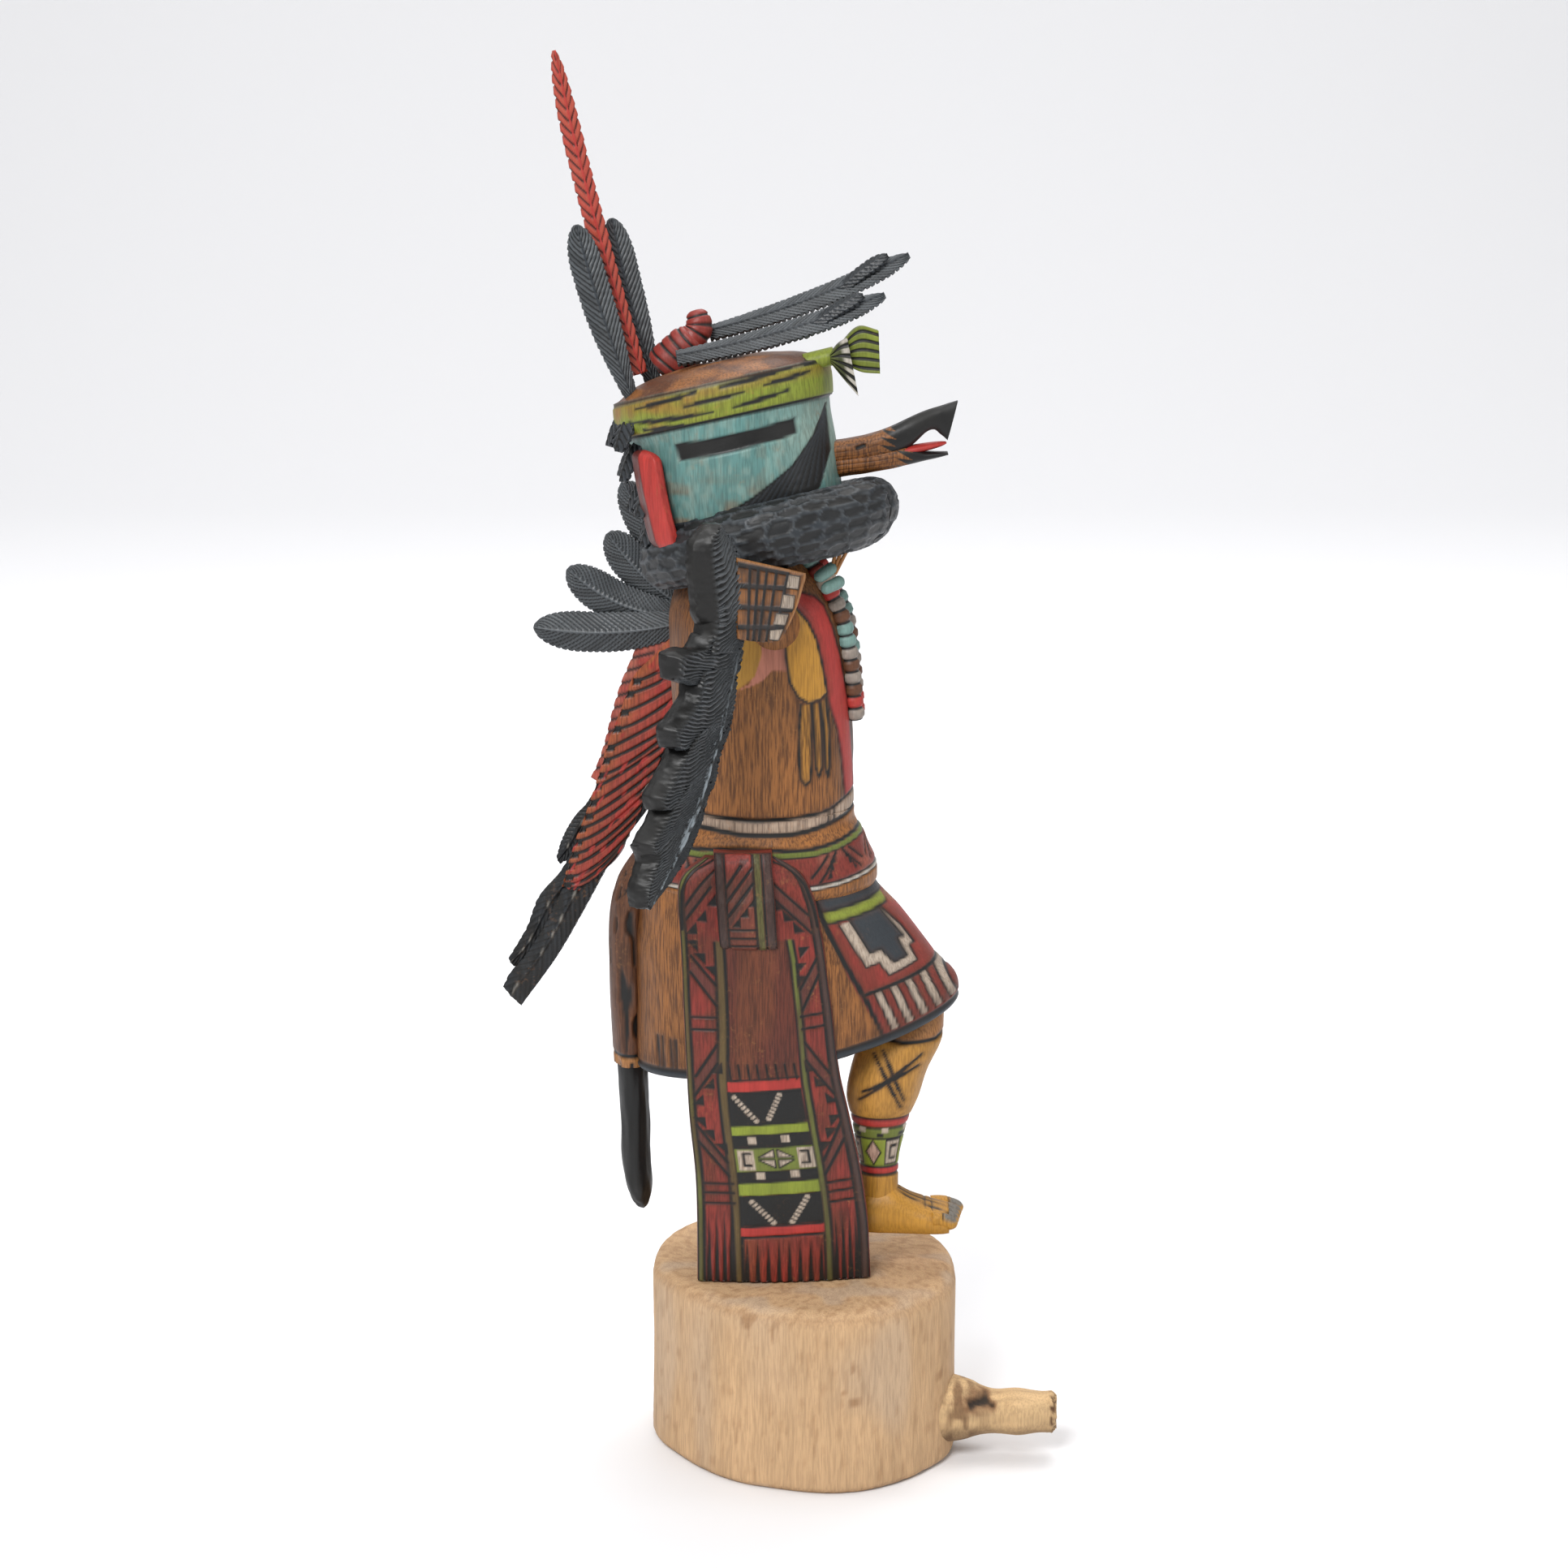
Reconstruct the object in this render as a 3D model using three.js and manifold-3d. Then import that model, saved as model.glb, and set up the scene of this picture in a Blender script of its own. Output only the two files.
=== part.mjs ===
// A carved and painted kachina doll: a hawk dancer with one leg raised, on a block of cottonwood root.
// Millimetres, +Z up. +X is the way the dancer faces and -Y is its right-hand side.
// The origin is on the underside of the block, at its middle.

import * as THREE from 'three';
import { mergeVertices } from 'three/addons/utils/BufferGeometryUtils.js';
import Module from 'manifold-3d';

const wasm = await Module();
wasm.setup();

// Fits
const SEAT_GAP = 0.3;

// Base block
const BASE_HEIGHT = 47;
const BASE_RADII = [38, 38.5, 40.5, 40.5, 41.5, 39.5, 37.2, 38.5, 41.6, 40.5];
const BASE_RIM_ROUND = 4;
const BASE_FOOT_ROUND = 1.5;
const ROOT_LENGTH = 63;
const ROOT_RADIUS = 5.2;
const ROOT_FLARE = 10;
const ROOT_HEIGHT = 12;
const ROOT_SIDE = -15;

// Body, with every height of the figure measured from the top of the base block
const BODY_X = -10.5;
const BODY_Y = 4;
const TORSO_RADIUS = 21.6;
const TORSO_DEPTH = 18.5;
const BELT_BOTTOM = 99;
const BELT_TOP = 119;
const SHOULDER_Z = 167;
const NECK_Z = 181;
const SHOULDER_X = -8;
const STUMP_RADIUS = 6;
const STUMP_REACH = 4;

// Kilt
const KILT_TOP_RADIUS = 29;
const KILT_HEM_RADIUS = 40.5;
const KILT_HEM_DEPTH = 24;
const KILT_HEM_Z = 51;
const KILT_RECESS = 4;

// Legs
const RIGHT_LEG_Y = -4;
const LEFT_LEG_Y = 11;
const KNEE_RADIUS = 10.2;
const CALF_RADIUS = 9.6;
const ANKLE_RADIUS = 4.9;
const FOOT_LENGTH = 27;
const FOOT_HALF_WIDTH = 7;
const RAISED_SOLE_Z = 9.5;

// Sash and pelt
const SASH_THICKNESS = 3;
const SASH_LOOP_WIDTH = 15;
const SASH_LOOP_RELIEF = 1.6;
const PELT_WIDTH = 17;
const PELT_THICKNESS = 10;
const TAIL_RADIUS = 3.8;

// Necklace
const ROPE_RADIUS = 2.2;
const ROPE_END_Z = 140;

// Ruff, head and mask
const RUFF_RADIUS = 23;
const RUFF_TUBE = 8.6;
const RUFF_X = -9.5;
const RUFF_Z = 185.5;
const HEAD_LEAN_X = 0.22;
const HEAD_LEAN_Y = -0.13;
const MASK_BOTTOM_Z = 189;
const MASK_HEIGHT = 33;
const MASK_BOTTOM_RADIUS = 22.3;
const MASK_TOP_RADIUS = 25.4;
const BAND_HEIGHT = 9;
const BAND_RELIEF = 0.9;
const CROWN_RISE = 5;

// Beak, bow and ears
const BEAK_LENGTH = 26;
const BEAK_WIDTH = 8.5;
const BOW_REACH = 12.6;
const EAR_LENGTH = 24.5;
const EAR_WIDTH = 8.5;
const EAR_THICKNESS = 3.4;

// Feathers
const TALL_FEATHER_LENGTH = 79;
const TALL_FEATHER_WIDTH = 5.2;
const UPRIGHT_FEATHER_LENGTH = 43;
const UPRIGHT_FEATHER_WIDTH = 8.4;
const PLUME_LENGTH = 52;
const PLUME_WIDTH = 6.4;
const WING_FEATHER_THICKNESS = 3.2;
const PRIMARY_WIDTH = 9.5;
const FAN_WIDTH = 10.5;
const COVERT_THICKNESS = 3.4;
const LEFT_WING_DROP = 108.5;
const RIGHT_WING_REACH = 51;

const vec = (x, y, z) => new THREE.Vector3(x, y, z);
const mix = (a, b, t) => a + (b - a) * t;

// A closed solid through rings with the same number of points, with a fan over each end ring.
function loft(rings) {
  const count = rings[0].length;
  const points = rings.flat();
  const middle = (ring) => ring.reduce((sum, p) => sum.add(p), vec(0, 0, 0)).divideScalar(count);
  points.push(middle(rings[0]), middle(rings[rings.length - 1]));
  const faces = [];
  for (let r = 0; r + 1 < rings.length; r += 1) {
    for (let i = 0; i < count; i += 1) {
      const a = r * count + i;
      const b = r * count + ((i + 1) % count);
      faces.push(a, b, b + count, a, b + count, a + count);
    }
  }
  const last = (rings.length - 1) * count;
  for (let i = 0; i < count; i += 1) {
    const next = (i + 1) % count;
    faces.push(points.length - 2, next, i);
    faces.push(points.length - 1, last + i, last + next);
  }
  return toSolid(points, faces);
}

// Six times the signed volume, which is negative where the faces point inwards.
function signedVolume(points, faces) {
  let sum = 0;
  for (let f = 0; f < faces.length; f += 3) {
    const [a, b, c] = [points[faces[f]], points[faces[f + 1]], points[faces[f + 2]]];
    sum += a.dot(vec(0, 0, 0).crossVectors(b, c));
  }
  return sum;
}

function toSolid(points, faces) {
  const outward = signedVolume(points, faces) > 0;
  const order = outward ? faces : [...faces].reverse();
  const vertProperties = new Float32Array(points.flatMap((p) => [p.x, p.y, p.z]));
  const triVerts = new Uint32Array(order);
  return new wasm.Manifold(new wasm.Mesh({ numProp: 3, vertProperties, triVerts }));
}

function joinAll(solids) {
  return solids.reduce((sum, solid) => sum.add(solid));
}

// A named node; lift is how far its solid is raised into place.
function piece(name, solid, color, roughness, lift = BASE_HEIGHT) {
  const { points, faces } = meshOf(solid);
  const geometry = new THREE.BufferGeometry().setFromPoints(points.map((p) => vec(p.x, p.y, p.z + lift)));
  geometry.setIndex(faces);
  const mesh = new THREE.Mesh(mergeVertices(geometry, 1e-4), new THREE.MeshStandardMaterial({
    color, roughness, metalness: 0,
  }));
  mesh.name = name;
  return mesh;
}

// A level ellipse, tilted by its slopes along X and Y.
function ellipse(cx, cy, cz, rx, ry, sides = 24, slopeX = 0, slopeY = 0) {
  const ring = [];
  for (let i = 0; i < sides; i += 1) {
    const angle = (i / sides) * 2 * Math.PI;
    const dx = rx * Math.cos(angle);
    const dy = ry * Math.sin(angle);
    ring.push(vec(cx + dx, cy + dy, cz + slopeX * dx + slopeY * dy));
  }
  return ring;
}

// A tube of elliptical rings square to a curve; radius(t) gives [along side, along up].
function tube(curve, steps, sides, radius, up = vec(0, 0, 1)) {
  const rings = [];
  for (let s = 0; s <= steps; s += 1) {
    const t = s / steps;
    const at = curve.getPoint(t);
    const along = curve.getTangent(t).normalize();
    const side = vec(0, 0, 0).crossVectors(along, up).normalize();
    const top = vec(0, 0, 0).crossVectors(side, along).normalize();
    const [rs, rt] = radius(t);
    const ring = [];
    for (let i = 0; i < sides; i += 1) {
      const angle = (i / sides) * 2 * Math.PI;
      const out = side.clone().multiplyScalar(rs * Math.cos(angle));
      ring.push(at.clone().add(out).add(top.clone().multiplyScalar(rt * Math.sin(angle))));
    }
    rings.push(ring);
  }
  return loft(rings);
}

const curveThrough = (...points) => new THREE.CatmullRomCurve3(points);
const bend = (a, b, c) => new THREE.QuadraticBezierCurve3(a, b, c);

// The half-width of a feather along its length, as a share of its greatest half-width.
function vaneShare(t, rootShare) {
  const body = mix(rootShare, 1, Math.sin(Math.min(t / 0.55, 1) * Math.PI / 2));
  const tip = Math.sqrt(Math.max(0.06, 1 - Math.max(0, (t - 0.72) / 0.28) ** 2));
  return body * tip;
}

// A feather: a thin board with a raised rib along its middle and rounded sides.
function feather(curve, width, thickness, normal, rootShare = 0.45, steps = 5) {
  const section = [[-1, -0.35], [0, -1], [1, -0.35], [1, 0.35], [0, 1], [-1, 0.35]];
  const rings = [];
  for (let s = 0; s <= steps; s += 1) {
    const t = s / steps;
    const at = curve.getPoint(t);
    const along = curve.getTangent(t).normalize();
    const side = vec(0, 0, 0).crossVectors(normal, along).normalize();
    const face = vec(0, 0, 0).crossVectors(along, side).normalize();
    const half = 0.5 * width * vaneShare(t, rootShare);
    const deep = 0.5 * thickness * mix(1, 0.7, t);
    rings.push(section.map(([u, v]) => at.clone()
      .add(side.clone().multiplyScalar(u * half))
      .add(face.clone().multiplyScalar(v * deep))));
  }
  return loft(rings);
}

// A board: a flat outline given in a plane, with its two faces either side of it.
function board(outline, place, thickness, normal) {
  const half = normal.clone().normalize().multiplyScalar(thickness / 2);
  const flat = outline.map(([a, b]) => new THREE.Vector2(a, b));
  if (THREE.ShapeUtils.isClockWise(flat)) {
    flat.reverse();
  }
  const points = flat.map((corner) => place(corner.x, corner.y));
  const count = points.length;
  const cover = THREE.ShapeUtils.triangulateShape(flat, []);
  const all = [...points.map((p) => p.clone().add(half)), ...points.map((p) => p.clone().sub(half))];
  const faces = [];
  for (const [a, b, c] of cover) {
    faces.push(a, b, c, a + count, c + count, b + count);
  }
  for (let i = 0; i < count; i += 1) {
    const next = (i + 1) % count;
    faces.push(i, i + count, next + count, i, next + count, next);
  }
  return toSolid(all, faces);
}

// Base block

function baseRadius(angle) {
  const count = BASE_RADII.length;
  const at = ((angle / (2 * Math.PI)) * count + count) % count;
  const k = Math.floor(at);
  const ease = (1 - Math.cos((at - k) * Math.PI)) / 2;
  return mix(BASE_RADII[k % count], BASE_RADII[(k + 1) % count], ease);
}

function makeBase() {
  const sides = 24;
  const levels = [
    [0, BASE_FOOT_ROUND],
    [BASE_FOOT_ROUND, 0],
    [BASE_HEIGHT / 2, 0.4],
    [BASE_HEIGHT - BASE_RIM_ROUND, 0.3],
    [BASE_HEIGHT - 0.3 * BASE_RIM_ROUND, 0.35 * BASE_RIM_ROUND],
    [BASE_HEIGHT, BASE_RIM_ROUND],
  ];
  const rings = levels.map(([z, inset]) => {
    const ring = [];
    for (let i = 0; i < sides; i += 1) {
      const angle = (i / sides) * 2 * Math.PI;
      const radius = baseRadius(angle) - inset;
      ring.push(vec(radius * Math.cos(angle), radius * Math.sin(angle), z));
    }
    return ring;
  });
  const start = BASE_RADII[0] - 12;
  const route = curveThrough(
    vec(start, ROOT_SIDE + 2, ROOT_HEIGHT),
    vec(mix(start, ROOT_LENGTH, 0.4), ROOT_SIDE, ROOT_HEIGHT - 0.5),
    vec(ROOT_LENGTH, ROOT_SIDE - 1, ROOT_HEIGHT - 0.5),
  );
  const root = tube(route, 7, 8, (t) => {
    const flare = Math.exp(-((t / 0.33) ** 2));
    const knot = 0.5 * Math.sin(t * 19);
    const end = t > 0.97 ? 0.72 : 1;
    const radius = (mix(ROOT_RADIUS, ROOT_FLARE + 1.5, flare) + knot * 0.6) * end;
    return [radius, radius * 0.98];
  });
  return loft(rings).add(root);
}

// Legs

function makeFoot(heelX, legY, soleZ) {
  const sections = [
    [0, 0.55, 1, 7.5],
    [0.14, 0.78, 0.2, 10.5],
    [0.36, 0.82, 0, 12],
    [0.6, 0.92, 0, 9],
    [0.93, 1, 0.2, 6.4],
  ];
  const rings = sections.map(([share, half, low, high]) => {
    const ring = [];
    for (let i = 0; i < 8; i += 1) {
      const angle = (i / 8) * 2 * Math.PI;
      const y = legY + half * FOOT_HALF_WIDTH * Math.cos(angle);
      const lift = Math.max(Math.sin(angle), -0.55) / 0.55;
      const z = lift < 0 ? low : mix(low, high, (lift * 0.55 + 0.55) / 1.55);
      ring.push(vec(heelX + share * FOOT_LENGTH, y, soleZ + z));
    }
    return ring;
  });
  const toes = [];
  for (let k = 0; k < 5; k += 1) {
    const side = mix(-0.8, 0.8, k / 4) * FOOT_HALF_WIDTH;
    const radius = k === 4 ? 2.1 : 1.65;
    const start = heelX + 0.82 * FOOT_LENGTH;
    const reach = FOOT_LENGTH * (0.17 + 0.018 * k);
    const route = bend(
      vec(start, legY + side, soleZ + 4.2),
      vec(start + reach * 0.7, legY + side, soleZ + 4.6),
      vec(start + reach, legY + side, soleZ + 2),
    );
    toes.push(tube(route, 2, 6, (t) => [radius * (t > 0.9 ? 0.6 : 1), radius * (t > 0.9 ? 0.6 : 1.1)]));
  }
  return joinAll([loft(rings), ...toes]);
}

function makeRaisedLeg() {
  const heel = 10.5;
  const ankle = RAISED_SOLE_Z + 8;
  const top = KILT_HEM_Z + 21.5;
  const rows = [
    [0, 18, ANKLE_RADIUS],
    [0.15, 18, ANKLE_RADIUS],
    [0.29, 18, ANKLE_RADIUS + 1.2],
    [0.38, 18.2, ANKLE_RADIUS + 2.2],
    [0.49, 18.8, CALF_RADIUS - 0.6],
    [0.62, 20.4, CALF_RADIUS],
    [0.75, 23.2, KNEE_RADIUS],
    [0.87, 26.6, KNEE_RADIUS],
    [1, 26, KNEE_RADIUS - 1],
  ];
  const rings = rows.map(([share, x, r]) => (
    ellipse(x, RIGHT_LEG_Y, mix(ankle, top, share), r, r * 0.86, 12)));
  return loft(rings).add(makeFoot(heel, RIGHT_LEG_Y, RAISED_SOLE_Z));
}

function makeStandingLeg() {
  const heel = -16;
  const ankleX = -10;
  const ankle = SEAT_GAP + 7;
  const top = KILT_HEM_Z + 7.3;
  const rows = [
    [0, 0, ANKLE_RADIUS],
    [0.14, 0, ANKLE_RADIUS],
    [0.29, -0.5, ANKLE_RADIUS + 1.4],
    [0.53, -0.8, CALF_RADIUS],
    [0.76, 0.4, CALF_RADIUS],
    [1, 1.5, CALF_RADIUS + 1],
  ];
  const rings = rows.map(([share, x, r]) => (
    ellipse(ankleX + x, LEFT_LEG_Y, mix(ankle, top, share), r, r * 0.9, 12)));
  return loft(rings).add(makeFoot(heel, LEFT_LEG_Y, SEAT_GAP));
}

// Kilt, belt and torso

function hemHeight(x) {
  const along = x + 35;
  return KILT_HEM_Z + 0.1 * along + 0.0018 * along * Math.abs(along);
}

function hemRing(share, lift) {
  const ring = [];
  for (let i = 0; i < 22; i += 1) {
    const angle = (i / 22) * 2 * Math.PI;
    const x = -2.5 + share * KILT_HEM_RADIUS * Math.cos(angle);
    const y = BODY_Y + share * KILT_HEM_DEPTH * Math.sin(angle);
    ring.push(vec(x, y, hemHeight(x) + lift));
  }
  return ring;
}

function makeKilt() {
  const top = (z, cx, rx, ry) => ellipse(cx, BODY_Y, z, rx, ry, 22);
  return loft([
    hemRing(0.84, KILT_RECESS),
    hemRing(0.9, 0.6),
    hemRing(0.98, 0),
    hemRing(1, 1.6),
    top(mix(KILT_HEM_Z, BELT_BOTTOM, 0.62), -6, KILT_TOP_RADIUS + 8, 24.4),
    top(mix(KILT_HEM_Z, BELT_BOTTOM, 0.82), -9.2, KILT_TOP_RADIUS + 4, 23.6),
    top(BELT_BOTTOM, -12.4, KILT_TOP_RADIUS, 22.4),
    top(BELT_BOTTOM + 4, -12.2, KILT_TOP_RADIUS - 1, 22),
  ]);
}

function makeBelt() {
  const rows = [
    [BELT_BOTTOM - 1, -12, 28.6, 22.4],
    [BELT_BOTTOM + 1, -12, 29.4, 23],
    [BELT_BOTTOM + 5, -12, 29, 22.8],
    [BELT_BOTTOM + 9, -11.5, 26.6, 22],
    [BELT_BOTTOM + 12, -11, 25, 21.4],
    [BELT_TOP - 6, -10.8, 23.6, 20.4],
    [BELT_TOP - 5, -10.6, 22.6, 19.8],
    [BELT_TOP, -10.6, 22.2, 19.6],
  ];
  return loft(rows.map(([z, x, rx, ry]) => ellipse(x, BODY_Y, z, rx, ry, 22)));
}

// Rows of height, shift along X, and the shares of the torso's radius and depth.
const TORSO_ROWS = [
  [BELT_TOP - 8, 0, 1.02, 1.02],
  [BELT_TOP + 17, -0.3, 1.02, 1.01],
  [SHOULDER_Z - 20, -1, 1.02, 1.03],
  [SHOULDER_Z - 8, -1.8, 1, 1.06],
  [SHOULDER_Z, -2.6, 0.96, 1.04],
  [SHOULDER_Z + 7, -3.4, 0.82, 0.9],
  [NECK_Z, -3.4, 0.62, 0.66],
  [NECK_Z + 9, -3.4, 0.6, 0.62],
];

// A point on the torso at a height and an angle from straight ahead, moved out by a distance.
function onTorso(z, degrees, out = 0) {
  const top = Math.max(1, TORSO_ROWS.findIndex((row) => row[0] >= z));
  const [low, high] = [TORSO_ROWS[top - 1], TORSO_ROWS[top]];
  const t = (z - low[0]) / (high[0] - low[0]);
  const [dx, sx, sy] = [1, 2, 3].map((k) => mix(low[k], high[k], t));
  const angle = THREE.MathUtils.degToRad(degrees);
  const x = BODY_X + dx + (TORSO_RADIUS * sx + out) * Math.cos(angle);
  return vec(x, BODY_Y + (TORSO_DEPTH * sy + out) * Math.sin(angle), z);
}

function makeTorso() {
  const trunk = loft(TORSO_ROWS.map(([z, dx, sx, sy]) => (
    ellipse(BODY_X + dx, BODY_Y, z, TORSO_RADIUS * sx, TORSO_DEPTH * sy, 20))));
  const stumps = [-1, 1].map((side) => {
    const from = vec(SHOULDER_X - 2, BODY_Y, SHOULDER_Z - 2);
    const to = vec(SHOULDER_X, BODY_Y + side * (TORSO_DEPTH + STUMP_REACH), SHOULDER_Z);
    return tube(new THREE.LineCurve3(from, to), 1, 10, () => [STUMP_RADIUS, STUMP_RADIUS]);
  });
  return joinAll([trunk, ...stumps]);
}

// The cloth sash hanging from the right hip, with the loop that is tucked over it.
function makeSash() {
  const rows = [
    [SEAT_GAP, -27.5, 15.8, -18.4],
    [BELT_BOTTOM - 85, -27.5, 15.2, -19.2],
    [BELT_BOTTOM - 71, -27.8, 13.4, -20.2],
    [BELT_BOTTOM - 55, -29.2, 10.2, -21.8],
    [BELT_BOTTOM - 45, -29.7, 8, -22.8],
    [BELT_BOTTOM - 27, -30.4, 5.8, -23.6],
    [BELT_BOTTOM - 9, -31, 3.4, -23.6],
    [BELT_BOTTOM + 1, -31.6, 1.2, -22.8],
    [BELT_BOTTOM + 7, -30.2, -2, -21.6],
    [BELT_BOTTOM + 11, -25, -8, -20.4],
  ];
  const columns = 5;
  const rings = rows.map(([z, left, right, near]) => {
    const front = [];
    const back = [];
    for (let i = 0; i <= columns; i += 1) {
      const t = i / columns;
      const x = mix(left, right, t);
      const fall = 3.2 * (t - 0.36) ** 2 * 4;
      front.push(vec(x, near + fall, z));
      back.unshift(vec(x, near + fall + SASH_THICKNESS, z));
    }
    return [...front, ...back];
  });
  const loopRows = [[-13, 0], [-12, 0.9], [4, 1], [10.5, 0.9], [12.5, 0.2]];
  const loop = loft(loopRows.map(([rise, proud]) => {
    const z = BELT_BOTTOM + rise;
    const centre = -15.6 - 0.05 * (rise + 13);
    const half = SASH_LOOP_WIDTH / 2;
    const near = mix(-23.8, -21.6, Math.max(0, (rise - 1) / 12)) - SASH_LOOP_RELIEF * proud;
    return [
      vec(centre - half, near + 0.8, z),
      vec(centre, near - 0.2, z),
      vec(centre + half, near + 1.2, z),
      vec(centre + half, near + 4.6, z),
      vec(centre, near + 4.6, z),
      vec(centre - half, near + 4.6, z),
    ];
  }));
  return loft(rings).add(loop);
}

// The fox pelt hanging behind, its cuff and its dark tail.
function makePelt() {
  const half = PELT_THICKNESS / 2;
  const route = curveThrough(
    vec(-38, BODY_Y + 4, BELT_BOTTOM + 6),
    vec(-43.6, BODY_Y + 4, BELT_BOTTOM - 4),
    vec(-44.6, BODY_Y + 4, BELT_BOTTOM - 26),
    vec(-44.3, BODY_Y + 4, BELT_BOTTOM - 49),
  );
  const skin = tube(route, 6, 10, (t) => [
    0.5 * PELT_WIDTH * mix(0.75, 1, Math.sin(t * 2.6)),
    half * mix(0.8, 1.04, Math.sin(t * 2.6)),
  ], vec(-1, 0, 0));
  const tailRoute = curveThrough(
    vec(-44.3, BODY_Y + 4, BELT_BOTTOM - 47),
    vec(-43.8, BODY_Y + 4, BELT_BOTTOM - 62),
    vec(-43.4, BODY_Y + 4, BELT_BOTTOM - 76),
    vec(-42, BODY_Y + 4, BELT_BOTTOM - 88.5),
  );
  const tail = tube(tailRoute, 7, 8, (t) => {
    const tip = Math.sqrt(Math.max(0.05, 1 - Math.max(0, (t - 0.75) / 0.25) ** 2));
    return [1.25 * TAIL_RADIUS * tip, TAIL_RADIUS * mix(1, 0.92, t) * tip];
  }, vec(-1, 0, 0));
  return skin.add(tail);
}

// The two ropes of the necklace, hanging down the chest.
function makeRopes() {
  const ends = [[-22, -10], [10, 6]];
  return ends.map(([high, low]) => {
    const points = [NECK_Z, SHOULDER_Z, SHOULDER_Z - 13, ROPE_END_Z].map((z, k) => (
      onTorso(z, mix(high, low, k / 3), k === 0 ? 0 : 0.5 * ROPE_RADIUS)));
    return tube(curveThrough(...points), 6, 6, () => [ROPE_RADIUS, ROPE_RADIUS]);
  });
}

// The red strap down the side of the chest to the belt.
function makeStrap() {
  const points = [0, 1, 2, 3, 4].map((k) => (
    onTorso(mix(NECK_Z - 2, BELT_TOP, k / 4), mix(-62, -24, k / 4), 0)));
  const side = onTorso(SHOULDER_Z, -40).sub(vec(BODY_X, BODY_Y, SHOULDER_Z));
  return tube(curveThrough(...points), 7, 6, () => [2.4, 1.3], side);
}

function makeRuff() {
  const rings = 18;
  const sides = 8;
  const points = [];
  const faces = [];
  for (let r = 0; r < rings; r += 1) {
    const around = (r / rings) * 2 * Math.PI;
    for (let s = 0; s < sides; s += 1) {
      const about = (s / sides) * 2 * Math.PI;
      const out = RUFF_RADIUS + RUFF_TUBE * Math.cos(about);
      const dx = out * Math.cos(around);
      const dy = out * Math.sin(around) * 0.96;
      const z = RUFF_Z + RUFF_TUBE * Math.sin(about) + HEAD_LEAN_X * dx + HEAD_LEAN_Y * dy;
      points.push(vec(RUFF_X + dx, BODY_Y + dy, z));
      const a = r * sides + s;
      const b = ((r + 1) % rings) * sides + s;
      const c = ((r + 1) % rings) * sides + ((s + 1) % sides);
      const d = r * sides + ((s + 1) % sides);
      faces.push(a, b, c, a, c, d);
    }
  }
  const disc = loft([-0.5, 0.5].map((k) => {
    const z = RUFF_Z + k * RUFF_TUBE;
    return ellipse(RUFF_X, BODY_Y, z, RUFF_RADIUS, RUFF_RADIUS, 12, HEAD_LEAN_X, HEAD_LEAN_Y);
  }));
  return toSolid(points, faces).add(disc);
}

// Head

const headCentre = (up) => vec(
  -14 - HEAD_LEAN_X * up,
  BODY_Y - HEAD_LEAN_Y * up,
  MASK_BOTTOM_Z + up,
);

function headRing(up, radius, sides = 24) {
  const at = headCentre(up);
  return ellipse(at.x, at.y, at.z, radius, radius * 0.97, sides, HEAD_LEAN_X, HEAD_LEAN_Y);
}

const maskRadius = (up) => mix(MASK_BOTTOM_RADIUS, MASK_TOP_RADIUS, up / MASK_HEIGHT);

function makeHead() {
  const bandLow = MASK_HEIGHT - BAND_HEIGHT;
  const rings = [
    headRing(-6, maskRadius(0) - 3),
    headRing(0, maskRadius(0)),
    headRing(bandLow / 2, maskRadius(bandLow / 2) + 0.3),
    headRing(bandLow, maskRadius(bandLow)),
    headRing(bandLow + 0.3, maskRadius(bandLow) + BAND_RELIEF),
    headRing(MASK_HEIGHT - 0.4, maskRadius(MASK_HEIGHT) + BAND_RELIEF),
    headRing(MASK_HEIGHT, maskRadius(MASK_HEIGHT) + BAND_RELIEF - 0.4),
    headRing(MASK_HEIGHT + 0.2, maskRadius(MASK_HEIGHT) - 1),
    headRing(MASK_HEIGHT + 0.5 * CROWN_RISE, 0.82 * MASK_TOP_RADIUS),
    headRing(MASK_HEIGHT + 0.86 * CROWN_RISE, 0.5 * MASK_TOP_RADIUS),
    headRing(MASK_HEIGHT + CROWN_RISE, 0.2 * MASK_TOP_RADIUS),
  ];
  return loft(rings);
}

// The tied knot of leather that holds the crown feathers.
function makeKnot() {
  const crown = headCentre(MASK_HEIGHT + CROWN_RISE);
  const foot = crown.clone().add(vec(-10, 0, -3));
  const body = curveThrough(foot, foot.clone().add(vec(4, -0.5, 5)), foot.clone().add(vec(8.5, -1, 9.5)));
  const lobe = curveThrough(foot.clone().add(vec(5, -1, 6)), foot.clone().add(vec(9, 0, 11.5)),
    foot.clone().add(vec(8.2, 1, 15.5)));
  return tube(body, 4, 8, (t) => [5.2 - 1.4 * t, 4.2 - t], vec(0, 1, 0))
    .add(tube(lobe, 3, 8, (t) => [3.6 - 1.2 * t, 3 - 1.2 * t], vec(0, 1, 0)));
}

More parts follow.
